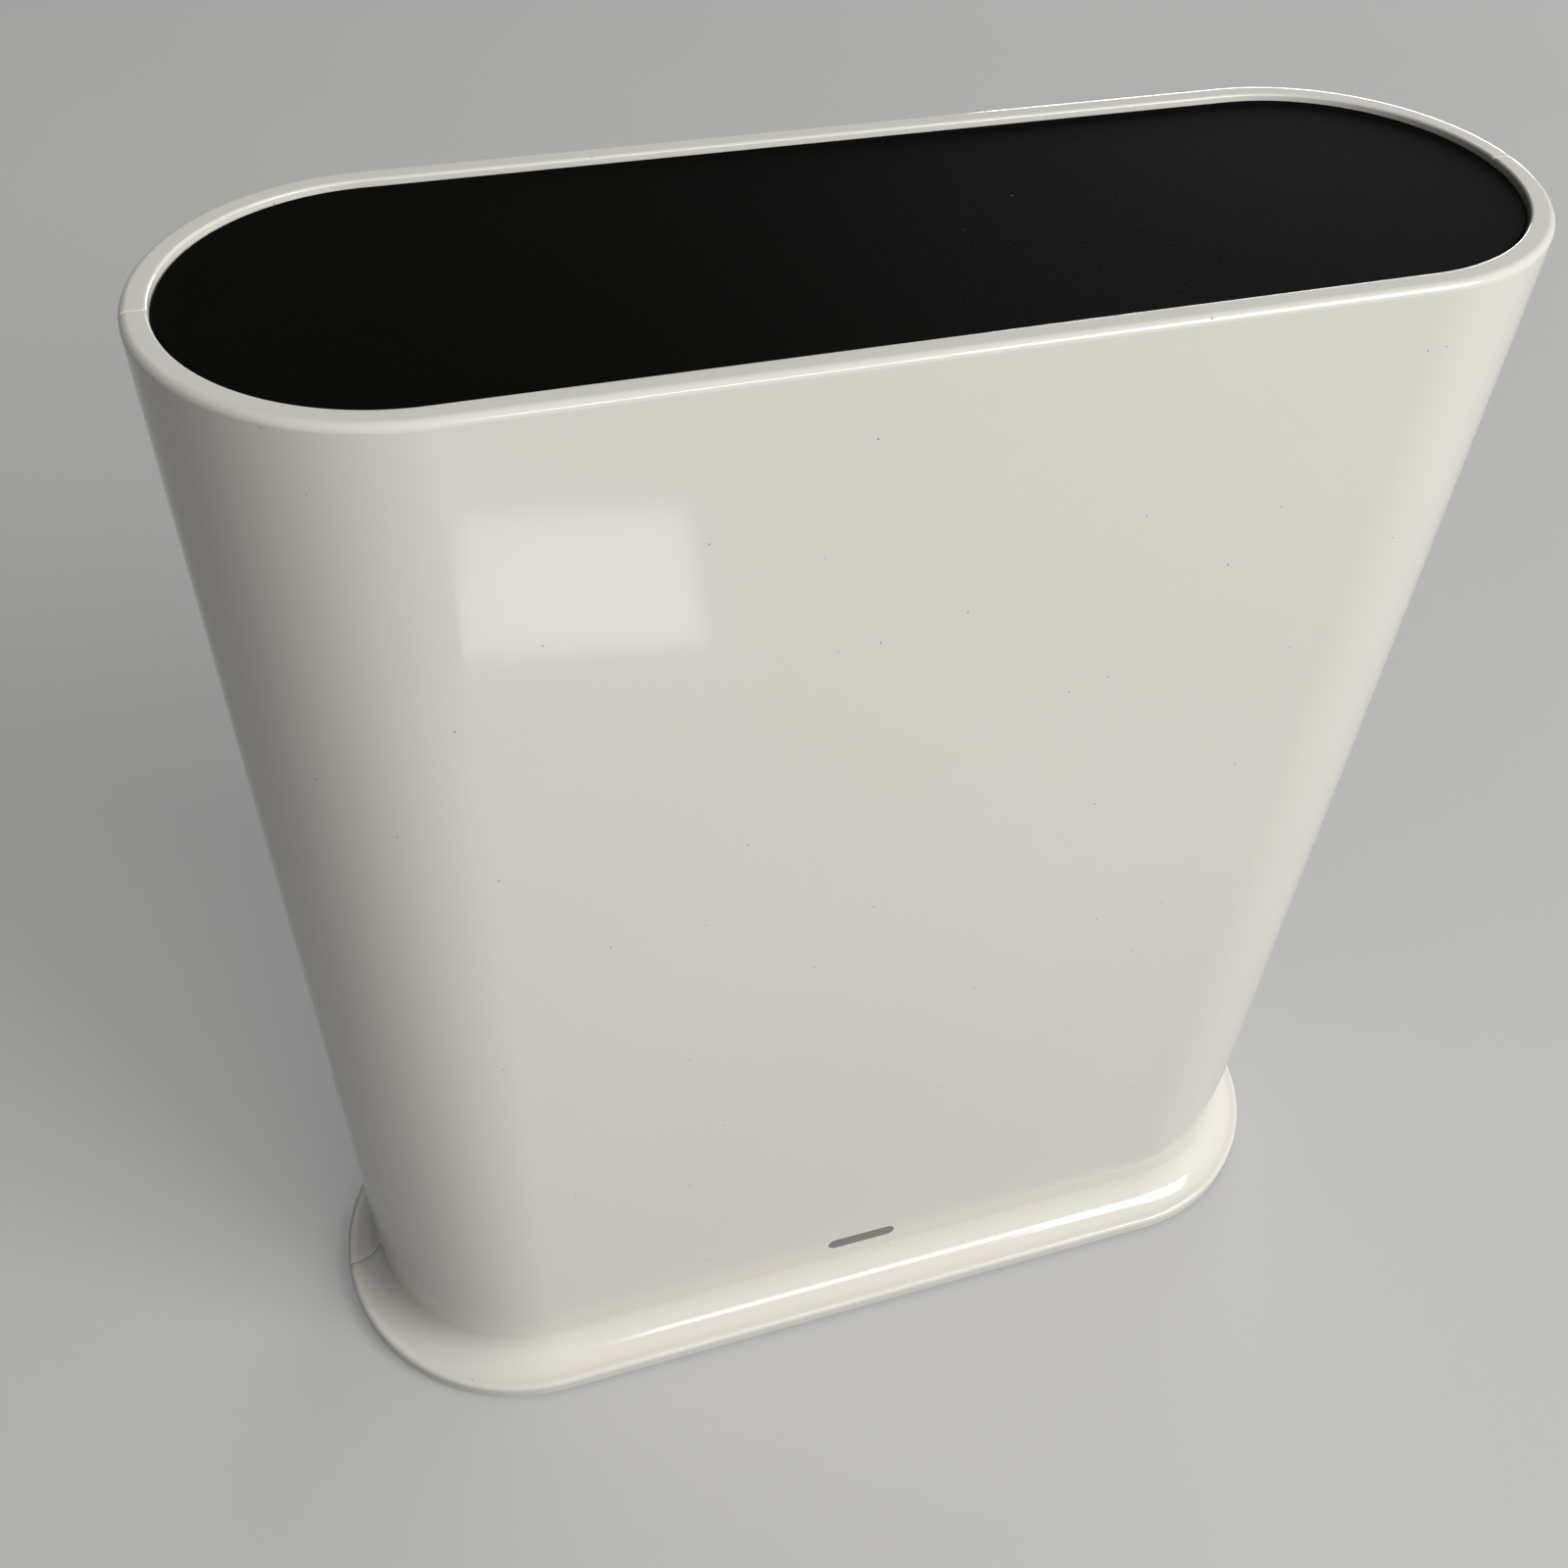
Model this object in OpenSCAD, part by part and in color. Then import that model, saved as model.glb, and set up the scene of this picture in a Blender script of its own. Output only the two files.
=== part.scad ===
// Security camera base station: an upright radio hub in a two-part shell on a flared foot.
// +Z is up, the front with the status light faces -Y, and the origin is on the table under the middle.

/* [Body] */
// Width across the rim at the top
body_w = 150; // [144:0.5:160]
// Depth across the rim at the top
body_d = 49.6; // [48:0.1:54]
// Height of the rim above the underside of the foot
body_h = 172.6; // [160:0.2:190]
// How much the body narrows on each side from the rim down to the flare, for mould draft
neck_in = 0.8; // [0.4:0.1:1.2]
// Thickness of the shell
wall = 2.2; // [1.9:0.1:2.5]
// Width of the flat land of the rim
rim_w = 2.7; // [2.5:0.1:3.2]
// Rounding of the outer edge of the rim
rim_round = 0.9; // [0.5:0.1:1.2]
// Chamfer of the inner edge of the rim
rim_chamfer = 0.4; // [0.2:0.1:0.6]
// Hairline gap between the front and rear shells
seam = 0.16; // [0.1:0.02:0.24]
// Thickness of the lips that close the seam from inside
lip_t = 1.2; // [0.9:0.1:1.6]
// Gap between a lip and the wall that it closes
lip_gap = 0.15; // [0.1:0.05:0.3]

/* [Foot] */
// How far the foot stands out past the rim
foot_out = 5; // [4.5:0.1:6]
// Thickness of the foot at its edge
foot_t = 2.6; // [2.4:0.1:3]
// Rounding of the upper edge of the foot
foot_edge_r = 0.8; // [0.4:0.1:1]
// Radius of the flare between the foot and the body
flare_r = 6; // [5.4:0.1:6.4]
// How far the flare dips below the land at the edge of the foot
flare_dip = 0.2; // [0.1:0.05:0.3]
// How far the rubber feet stand proud of the underside
pad_proud = 0.6; // [0.4:0.1:1]

/* [Top plate] */
// Thickness of the black top plate
plate_t = 2; // [1.6:0.1:2.4]
// Drop from the rim to the top plate
plate_drop = 0.6; // [0.4:0.1:1]
// Gap around the top plate
plate_gap = 0.2; // [0.1:0.05:0.3]
// Chamfer of the top plate's edge
plate_chamfer = 0.3; // [0.2:0.1:0.5]
// Width of the ledge under the top plate
ledge_w = 1.6; // [1.3:0.1:2]
// Thickness of the ledge under the top plate
ledge_t = 1.6; // [1.2:0.1:2]
// Thickness of the skirt under the top plate
skirt_t = 1.2; // [1:0.1:1.6]
// How far the skirt reaches below the ledge
skirt_below = 2.4; // [2:0.1:3]
// Distance of each snap hook from the middle
hook_x = 30; // [24:1:36]
// Width of each snap hook
hook_w = 8; // [6:0.5:10]
// How far each snap hook reaches under the ledge
hook_reach = 0.6; // [0.4:0.1:0.8]
// Gap between a snap hook and the ledge
hook_gap = 0.1; // [0.05:0.05:0.2]

/* [Base cover] */
// Thickness of the base cover
base_t = 2; // [1.6:0.1:2.2]
// How far the base cover laps under the shell
base_lap = 1.3; // [1:0.1:1.6]
// Gap around the base cover
base_gap = 0.2; // [0.1:0.05:0.3]
// Distance of the base screws from the ends of the straight sides
base_screw_in = 6; // [5.5:0.5:8]
// Thickness of the base cover under each screw head
base_web = 0.6; // [0.4:0.1:0.8]
// Length of each air slot in the base cover
air_slot_l = 14; // [8:1:16]
// Width of each air slot in the base cover
air_slot_w = 2; // [1.5:0.1:2.4]
// Spacing of the air slots in the base cover
air_slot_pitch = 5; // [4.5:0.1:6]
// Length of each rubber foot
pad_l = 12; // [9:0.5:13]
// Width of each rubber foot
pad_w = 6; // [5:0.5:7]
// Thickness of each rubber foot
pad_t = 1.4; // [1.2:0.1:1.6]
// Distance of the rubber feet past the ends of the straight sides
pad_past = 9; // [8:0.5:10.5]
// Distance of the rubber feet from the middle line
pad_y = 14; // [12.5:0.5:15]

/* [Status light] */
// Width of the light on the front
light_w = 11; // [8:0.5:14]
// Height of the light on the front
light_h = 2.4; // [2:0.1:3]
// Height of the light above the underside of the foot
light_z = 12; // [11.5:0.1:14]
// Gap around the light
light_fit = 0.06; // [0.04:0.01:0.1]
// How far the light pipe's flange stands out around the light
pipe_flange_w = 2; // [1.5:0.1:2.5]
// Thickness of the light pipe's flange
pipe_flange_t = 1.2; // [1:0.1:1.6]
// Width of the bar that leads the light from the board
bar_w = 8; // [5:0.5:9]
// Height of the bar that leads the light from the board
bar_h = 1.8; // [1.4:0.1:2.2]
// Wall of the shroud around the bar
shroud_t = 1.3; // [1:0.1:1.6]
// Gap between the shroud and the bar
shroud_fit = 0.2; // [0.1:0.05:0.3]
// Thickness of the shroud's ears
shroud_ear_t = 1.6; // [1.2:0.1:2]
// Radius of the pins that hold the shroud
shroud_pin_r = 1; // [0.8:0.1:1.2]

/* [Rear ports] */
// Height of the ports above the underside of the foot
port_z = 26; // [24.5:0.5:28]
// Width of the port window in the rear shell
window_w = 84; // [78:0.5:88]
// Height of the port window in the rear shell
window_h = 20; // [18:0.5:21]
// Corner radius of the port window
window_r = 5; // [3:0.5:6]
// Distance of the outermost ports from the ends of the window
port_margin = 5; // [3:0.5:7]
// Depth of the port panel below the rear face
panel_recess = 1.4; // [1.1:0.1:1.6]
// Thickness of the port panel behind the wall
panel_t = 1.8; // [1.5:0.1:2.2]
// How far the port panel laps behind the wall
panel_lap = 2.5; // [2:0.1:2.8]
// Gap around the port panel and around each port
panel_fit = 0.15; // [0.1:0.05:0.25]
// Depth of the jacks' faces below the face of the port panel
port_sink = 0.3; // [0.1:0.05:0.5]
// Height of the jacks above the board
jack_depth = 15.4; // [14.5:0.1:16]

/* [Buttons] */
// Radius of the sync button
sync_r = 4.5; // [3.5:0.1:4.8]
// How far the sync button stands proud of the port panel
sync_proud = 0.8; // [0.6:0.1:1.2]
// Depth of the dish in the sync button
sync_dish = 0.25; // [0.15:0.05:0.4]
// Travel of the sync button
sync_travel = 0.5; // [0.3:0.05:0.6]
// Radius of the hole for a pin in front of the reset key
reset_hole_r = 0.9; // [0.7:0.1:1.2]
// Travel of the reset key
reset_travel = 0.4; // [0.2:0.05:0.5]
// Radial clearance of the sliding buttons
button_fit = 0.08; // [0.05:0.01:0.1]
// Gap between the port panel and the shoulders that hold the buttons in
button_rest = 0.1; // [0.05:0.05:0.2]

/* [Board] */
// Width of the main board
board_w = 112; // [106:1:116]
// Height of the main board
board_h = 104; // [98:0.5:110]
// Thickness of the main board
board_t = 1.6; // [1.2:0.1:2]
// Height of the board's lower edge above the underside of the foot
board_z = 8; // [6.5:0.5:9]
// Distance of the mounting holes from the edges of the board
hole_in = 4; // [3.8:0.1:5]
// Radius of the posts that carry the board and the antenna frame
post_r = 3; // [2.8:0.1:3.4]
// Radius of the screw shanks
screw_r = 1.2; // [1:0.1:1.3]
// Radial clearance of the screws in their pilot holes
screw_fit = 0.05; // [0.03:0.01:0.1]
// Radial clearance of the screws in the pieces that they hold
screw_clear = 0.2; // [0.15:0.05:0.3]
// How far the screws reach into the posts
screw_grip = 7; // [5:0.5:9]
// Radius of the screw heads
head_r = 2.3; // [2:0.1:2.6]
// Height of the screw heads
head_h = 1.4; // [1.2:0.1:1.6]

/* [Cooling] */
// Height of the heat sink's lower edge above the board's lower edge
sink_low = 26; // [24:0.5:30]
// Width of the heat sink
sink_w = 70; // [62:1:78]
// Thickness of the heat sink's base
sink_t = 2.5; // [2:0.1:3]
// Length of the fins
fin_l = 8; // [5:0.5:12]
// Thickness of each fin
fin_t = 1.2; // [0.8:0.1:1.6]
// Number of fins
fin_n = 12; // [8:1:14]
// Thickness of the chips
chip_t = 1.2; // [0.9:0.1:1.6]
// Thickness of the thermal pads
thermal_t = 1; // [0.6:0.1:1.5]

/* [Rear air slots] */
// Number of air slots in the rear shell
vent_n = 11; // [5:2:13]
// Width of each air slot
vent_w = 1.8; // [1.2:0.1:2.4]
// Length of each air slot
vent_l = 22; // [14:1:26]
// Spacing of the air slots
vent_pitch = 5; // [4.5:0.1:5.5]

/* [Antennas] */
// Gap between the board and the antenna frame above it
frame_gap = 6; // [5:0.5:7]
// Clearance between the antenna frame and the top plate
frame_clear = 8; // [6:0.5:10]
// Width of the antenna frame
frame_w = 100; // [96:0.5:108]
// Thickness of the antenna frame
frame_t = 2; // [1.6:0.1:2.4]
// Corner radius of the antenna frame
frame_r = 4; // [2:0.5:6]
// Thickness of each antenna board
antenna_t = 0.8; // [0.6:0.1:1]
// Width of the two side antennas
side_antenna_w = 9; // [7:0.5:10]
// Width of the top antenna
top_antenna_w = 62; // [54:1:64]
// Height of the top antenna
top_antenna_h = 8; // [6:0.5:9]
// Margin between the antennas and the edges of the frame
antenna_margin = 2; // [1:0.5:3]
// Diameter of the antenna cables
cable_d = 1.2; // [0.9:0.1:1.3]

/* [Hidden] */
$fn = 64;
overlap = 0.5;                          // how far joined shapes run into each other
through = 1;                            // how far cuts run past a face
top_r = body_d / 2;
neck_r = top_r - neck_in;
side = body_w / 2 - top_r;              // half the length of the straight sides
foot_r = top_r + foot_out;
z_foot = pad_proud;                     // underside of the foot
z_rim = z_foot + body_h;
z_neck = z_foot + foot_t + flare_r - flare_dip;
inner_r = neck_r - wall;                // inside of the shell just above the flare
section_depth = 6;
core_r = inner_r - section_depth;       // inner limit of the section that is swept round the plan
rim_in_r = top_r - rim_w;
ledge_r = rim_in_r - ledge_w;
z_plate = z_rim - plate_drop - plate_t; // underside of the top plate
z_ledge = z_plate - ledge_t;
z_brace = z_ledge - (rim_w + ledge_w - wall);
z_cover = z_foot + base_t;              // upper face of the base cover
flare_in_r = neck_r + flare_r - sqrt(pow(flare_r + wall, 2) - pow(z_neck - z_cover, 2));
base_r = flare_in_r + base_lap;
panel_face_y = neck_r - panel_recess;
panel_front_y = inner_r - panel_t;
port_face_y = panel_face_y - port_sink;
board_rear_y = port_face_y - jack_depth;
board_front_y = board_rear_y - board_t;
z_port = z_foot + port_z;
z_light = z_foot + light_z;
z_board = z_foot + board_z;
z_board_top = z_board + board_h;
z_frame = z_board_top + frame_gap;
frame_h = z_plate - frame_clear - z_frame;
z_frame_mid = z_frame + frame_h / 2;

// Outer radius of the body at height z
function body_r(z) = neck_r + (top_r - neck_r) * max(0, z - z_neck) / (z_rim - z_neck);

// Depth at which a post of radius r at x and z ends inside the rear wall
function post_end(x, z, r) = sqrt(pow(body_r(z) - wall / 2, 2) - pow(max(0, abs(x) + r - side), 2));

// Points of an arc from angle a to angle b
function arc(x, y, r, a, b, n = 8) =
    [for (i = [0:n]) let (t = a + (b - a) * i / n) [x + r * cos(t), y + r * sin(t)]];

module stadium(half, r) {
    square([2 * half, 2 * r], center = true);
    for (s = [-1, 1]) translate([s * half, 0]) circle(r);
}

module pill(w, h) { stadium((w - h) / 2, h / 2); }

module rounded(w, h, r) {
    square([w - 2 * r, h], center = true);
    square([w, h - 2 * r], center = true);
    for (i = [-1, 1], j = [-1, 1]) translate([i * (w / 2 - r), j * (h / 2 - r)]) circle(r);
}

// A shape drawn in X and Z, from y to y + len
module along_y(y, len) { translate([0, y + len, 0]) rotate([90, 0, 0]) linear_extrude(len) children(); }

// A box around x and z, from y to y + len
module box_y(x, y, z, w, len, h) { translate([x - w / 2, y, z - h / 2]) cube([w, len, h]); }

// A round bar along Y, from y to y + len
module rod_y(x, y, z, r, len) { translate([x, y, z]) rotate([-90, 0, 0]) cylinder(r = r, h = len); }

// A pan-head screw whose shank runs up from the origin and whose head hangs below it
module screw(len) {
    slot_l = head_r * 1.3;
    slot_w = head_r * 0.35;
    difference() {
        union() {
            cylinder(r = screw_r, h = len);
            translate([0, 0, -head_h]) cylinder(r = head_r, h = head_h);
        }
        for (turn = [0, 90]) rotate([0, 0, turn])
            translate([-slot_l / 2, -slot_w / 2, -head_h]) cube([slot_l, slot_w, head_h * 0.6]);
    }
}

// Section of the shell: radius from the plan's middle line against height
module shell_section() {
    difference() {
        union() {
            polygon(concat([[core_r, z_neck], [neck_r, z_neck]],
                arc(top_r - rim_round, z_rim - rim_round, rim_round, 0, 90),
                [[core_r, z_rim]]));
            difference() {
                translate([core_r, z_foot]) square([foot_r - foot_edge_r - core_r, z_neck - z_foot]);
                translate([neck_r + flare_r, z_neck]) circle(flare_r);
            }
            polygon(concat([[core_r, z_foot], [foot_r, z_foot]],
                arc(foot_r - foot_edge_r, z_foot + foot_t - foot_edge_r, foot_edge_r, 0, 90),
                [[core_r, z_foot + foot_t]]));
        }
        shell_cavity_section();
    }
}

// Inside of the section: the room in the body, the flare, and the seats of the top plate and the base cover
module shell_cavity_section() {
    axis_r = core_r - through;
    edge_r = rim_in_r + rim_chamfer;
    polygon([[axis_r, z_neck], [inner_r, z_neck], [body_r(z_brace) - wall, z_brace], [ledge_r, z_ledge],
        [ledge_r, z_plate], [rim_in_r, z_plate], [rim_in_r, z_rim - rim_chamfer],
        [edge_r, z_rim], [edge_r, z_rim + through], [axis_r, z_rim + through]]);
    difference() {
        translate([axis_r, z_cover]) square([neck_r + flare_r - axis_r, z_neck - z_cover]);
        translate([neck_r + flare_r, z_neck]) circle(flare_r + wall);
    }
    translate([axis_r, z_foot - through]) square([base_r + base_gap - axis_r, base_t + through]);
}

// The shell's section swept round the front half of the plan, short of the seam
module half_shell() {
    difference() {
        union() {
            translate([side, 0, 0]) rotate([0, 0, -90]) rotate([90, 0, 0])
                linear_extrude(2 * side) shell_section();
            translate([side, 0, 0]) rotate([0, 0, -90]) rotate_extrude(angle = 90) shell_section();
            translate([-side, 0, 0]) rotate([0, 0, 180]) rotate_extrude(angle = 90) shell_section();
        }
        translate([-body_w, -seam / 2, -through]) cube([2 * body_w, body_d, z_rim + 2 * through]);
    }
}

// Screws that hold the base cover, in bosses that end below the port panel
base_boss_more = 0.4;
base_boss_clear = 2.5;
base_screw_spare = 1;
base_boss_r = post_r + base_boss_more;
base_boss_h = port_z - window_h / 2 - panel_lap - base_t - base_boss_clear;
base_screw_x = side - base_screw_in;
base_screw_y = inner_r - base_boss_r + overlap;
base_screw_places = [for (i = [-1, 1], j = [-1, 1]) [i * base_screw_x, j * base_screw_y]];
base_screw_grip = base_boss_h - base_screw_spare;

module base_bosses(y) {
    for (s = [-1, 1]) translate([s * base_screw_x, y, z_cover]) cylinder(r = base_boss_r, h = base_boss_h);
}

module base_boss_bores(y) {
    for (s = [-1, 1]) translate([s * base_screw_x, y, z_cover - through])
        cylinder(r = screw_r + screw_fit, h = base_screw_grip + overlap + through);
}

// Pins moulded inside the front shell that hold the light shroud
shroud_y = pipe_flange_t - inner_r;
shroud_pin_gap = 1.5;
shroud_pin_head = 0.8;
shroud_pin_x = light_w / 2 + pipe_flange_w + shroud_pin_r + shroud_pin_gap;

// White front half of the shell, with the slot for the status light
module front_shell() {
    color("#ecebe5") difference() {
        union() {
            half_shell();
            base_bosses(-base_screw_y);
            for (s = [-1, 1]) rod_y(s * shroud_pin_x, -inner_r - wall / 2, z_light, shroud_pin_r,
                wall / 2 + pipe_flange_t + shroud_ear_t + shroud_pin_head);
        }
        base_boss_bores(-base_screw_y);
        along_y(-top_r - through, top_r - core_r) translate([0, z_light])
            pill(light_w + 2 * light_fit, light_h + 2 * light_fit);
    }
}

// A lip inside one end of the rear shell that bridges the seam behind the front shell's wall, and its root
lip_low = 4;
lip_high = 2;
lip_root_in = 1;
lip_angle = 8;

module seam_lip() {
    low = z_neck + lip_low;
    high = z_brace - lip_high;
    function strip(from, to, low, high) = [[body_r(low) - wall - to, low], [body_r(low) - wall - from, low],
        [body_r(high) - wall - from, high], [body_r(high) - wall - to, high]];
    rotate([0, 0, -lip_angle]) rotate_extrude(angle = 2 * lip_angle)
        polygon(strip(lip_gap, lip_gap + lip_t, low, high));
    rotate([0, 0, lip_angle / 4]) rotate_extrude(angle = lip_angle / 2)
        polygon(strip(-wall / 2, lip_gap + lip_t / 2, low + lip_root_in, high - lip_root_in));
}

// Posts inside the rear shell: four for the board, two for the antenna frame below the air slots
frame_post_in = 2.5;
pilot_spare = 3;
board_post_x = board_w / 2 - hole_in;
frame_post_x = frame_w * 0.3;
board_posts = [for (s = [-1, 1], z = [z_board + hole_in, z_board_top - hole_in]) [s * board_post_x, z]];
frame_posts = [for (s = [-1, 1]) [s * frame_post_x, z_frame + post_r + frame_post_in]];
posts = concat(board_posts, frame_posts);

// Bosses and ears that hold the port panel beside the window
panel_boss_r = 2.6;
panel_boss_h = 3.8;
panel_boss_gap = 0.6;
panel_ear_t = 1.8;
panel_ear_more = 0.6;
panel_riser_t = 1.6;
panel_screw_spare = 1.1;
panel_screw_x = window_w / 2 + panel_lap + panel_boss_r + panel_boss_gap;
panel_boss_y = inner_r - panel_boss_h;
panel_screw_grip = panel_boss_h - panel_screw_spare;
panel_screws_x = [-panel_screw_x, panel_screw_x];

// White rear half of the shell, with the port window, the air slots and the posts
module rear_shell() {
    color("#ecebe5") difference() {
        union() {
            difference() {
                rotate([0, 0, 180]) half_shell();
                along_y(core_r, foot_r) translate([0, z_port]) rounded(window_w, window_h, window_r);
                for (i = [0:vent_n - 1]) along_y(core_r, foot_r)
                    translate([(i - (vent_n - 1) / 2) * vent_pitch, z_frame_mid])
                        rotate(90) pill(vent_l, vent_w);
            }
            base_bosses(base_screw_y);
            for (p = posts)
                rod_y(p[0], board_rear_y, p[1], post_r, post_end(p[0], p[1], post_r) - board_rear_y);
            for (x = panel_screws_x) rod_y(x, panel_boss_y, z_port, panel_boss_r,
                post_end(x, z_port, panel_boss_r) - panel_boss_y);
            translate([side, 0, 0]) seam_lip();
            translate([-side, 0, 0]) mirror([1, 0, 0]) seam_lip();
        }
        base_boss_bores(base_screw_y);
        for (p = posts) rod_y(p[0], board_rear_y - through, p[1], screw_r + screw_fit,
            screw_grip + pilot_spare + through);
        for (x = panel_screws_x)
            rod_y(x, panel_boss_y - through, z_port, screw_r + screw_fit, panel_boss_h + through);
    }
}

// Black plate that closes the top, snapped under the ledge by four hooks on its skirt.
// The hooks' tops slope as the ledge's brace does.
module top_plate() {
    plate_r = rim_in_r - plate_gap;
    skirt_r = ledge_r - plate_gap;
    z_skirt = z_ledge - skirt_below;
    z_hook = z_ledge - hook_gap;
    z_tip = z_hook - hook_reach;
    tip = -plate_gap - hook_reach;
    color("#17181a") union() {
        translate([0, 0, z_plate]) linear_extrude(plate_t - plate_chamfer) stadium(side, plate_r);
        translate([0, 0, z_plate + plate_t / 2]) linear_extrude(plate_t / 2)
            stadium(side, plate_r - plate_chamfer);
        translate([0, 0, z_skirt]) linear_extrude(z_plate - z_skirt + overlap) difference() {
            stadium(side, skirt_r);
            stadium(side, skirt_r - skirt_t);
        }
        for (i = [-1, 1], j = [0, 180]) rotate([0, 0, j]) translate([i * hook_x - hook_w / 2, -skirt_r, 0])
            rotate([90, 0, 90]) linear_extrude(hook_w) polygon([[skirt_t / 2, z_skirt], [0, z_skirt],
                [tip, z_tip - hook_reach], [tip, z_tip], [-plate_gap, z_hook], [skirt_t / 2, z_hook]]);
    }
}

// Places of the rubber feet
pad_places = [for (i = [-1, 1], j = [-1, 1]) [i * (side + pad_past), j * pad_y]];

// Plate that closes the foot, with sunk screw heads, air slots and seats for the rubber feet
module base_cover() {
    slots = floor((base_screw_x - base_boss_r - air_slot_w) / air_slot_pitch);
    color("#d9d8d3") difference() {
        translate([0, 0, z_foot]) linear_extrude(base_t) stadium(side, base_r);
        for (p = base_screw_places) translate([p[0], p[1], z_foot - through]) {
            cylinder(r = screw_r + screw_clear, h = base_t + 2 * through);
            cylinder(r = head_r + screw_clear, h = base_t - base_web + through);
        }
        for (p = pad_places) translate([p[0], p[1], z_foot - through])
            linear_extrude(pad_t - pad_proud + through) pill(pad_l, pad_w);
        for (i = [-slots:slots]) translate([i * air_slot_pitch, 0, z_foot - through])
            linear_extrude(base_t + 2 * through) rotate(90) pill(air_slot_l, air_slot_w);
    }
}

module base_screws() {
    color("#8f9296") for (p = base_screw_places)
        translate([p[0], p[1], z_cover - base_web]) screw(base_web + base_screw_grip);
}

module rubber_feet() {
    color("#2b2c2e") for (p = pad_places) translate([p[0], p[1], 0]) linear_extrude(pad_t) pill(pad_l, pad_w);
}

// Smoked light pipe: its face fills the slot in the front, and its bar runs back to the lamp on the board
led_w = 3.2;
led_h = 1.6;
led_t = 1.1;
led_gap = 0.3;

module light_pipe() {
    bar_y = overlap - inner_r;
    color("#8d8c89") union() {
        along_y(-neck_r, wall + overlap) translate([0, z_light]) pill(light_w, light_h);
        along_y(-inner_r, pipe_flange_t) translate([0, z_light])
            rounded(light_w + 2 * pipe_flange_w, light_h + 2 * pipe_flange_w, pipe_flange_w);
        box_y(0, bar_y, z_light, bar_w, board_front_y - led_t - led_gap - bar_y, bar_h);
    }
}

// Black sleeve that keeps the lamp's light in the pipe and clamps the pipe's flange to the shell
shroud_ear_w = 2.2;
shroud_pin_fit = 0.1;
shroud_short = 1;

module light_shroud() {
    ear_r = shroud_pin_r + shroud_ear_w;
    sleeve_l = board_front_y - led_t - shroud_short - shroud_y;
    hole_w = bar_w + 2 * shroud_fit;
    hole_h = bar_h + 2 * shroud_fit;
    color("#1c1d1f") difference() {
        union() {
            along_y(shroud_y, shroud_ear_t) translate([0, z_light])
                pill(2 * (shroud_pin_x + ear_r), 2 * ear_r);
            box_y(0, shroud_y, z_light, hole_w + 2 * shroud_t, sleeve_l, hole_h + 2 * shroud_t);
        }
        box_y(0, shroud_y - through, z_light, hole_w, sleeve_l + 2 * through, hole_h);
        for (s = [-1, 1]) rod_y(s * shroud_pin_x, shroud_y - through, z_light, shroud_pin_r + shroud_pin_fit,
            shroud_ear_t + 2 * through);
    }
}

module status_led() { color("#f4f1e6") box_y(0, board_front_y - led_t, z_light, led_w, led_t, led_h); }

// Sizes of the three jacks
shield_w = 16;
shield_h = 14;
shield_t = 0.35;
plug_w = 11.9;
plug_h = 7;
plug_depth = 12.5;
latch_w = 6.4;
latch_h = 1.8;
latch_depth = 8.5;
usb_w = 13.1;
usb_h = 5.7;
usb_t = 0.3;
usb_depth = 10;
power_r = 5.2;
power_bore_r = 2.75;
power_pin_r = 1.05;
power_depth = 10;
shield_lip = 1;
shield_mouth = 0.3;                     // how far the can's mouth stands back from the plug on each side
insert_fit = 0.05;                      // gap between a jack's moulding and its metal shell

// Guides behind the port panel for the two sliding buttons
sync_flange_w = 0.9;
sync_flange_t = 1.5;
sync_flange_r = sync_r + sync_flange_w;
reset_head_r = 1.8;
reset_head_l = 2.4;
guide_t = 1.1;
guide_l = 4.5;
sync_guide_r = sync_flange_r + button_fit + guide_t;
reset_guide_r = reset_head_r + button_fit + guide_t;

// Ports in a row with even gaps: power, network, storage, reset, sync
port_gap = (window_w - 2 * (port_margin + power_r + reset_guide_r + sync_guide_r) - shield_w - usb_w) / 4;
power_x = window_w / 2 - port_margin - power_r;
ethernet_x = power_x - power_r - port_gap - shield_w / 2;
usb_x = ethernet_x - shield_w / 2 - port_gap - usb_w / 2;
reset_x = usb_x - usb_w / 2 - port_gap - reset_guide_r;
sync_x = reset_x - reset_guide_r - port_gap - sync_guide_r;

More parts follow.
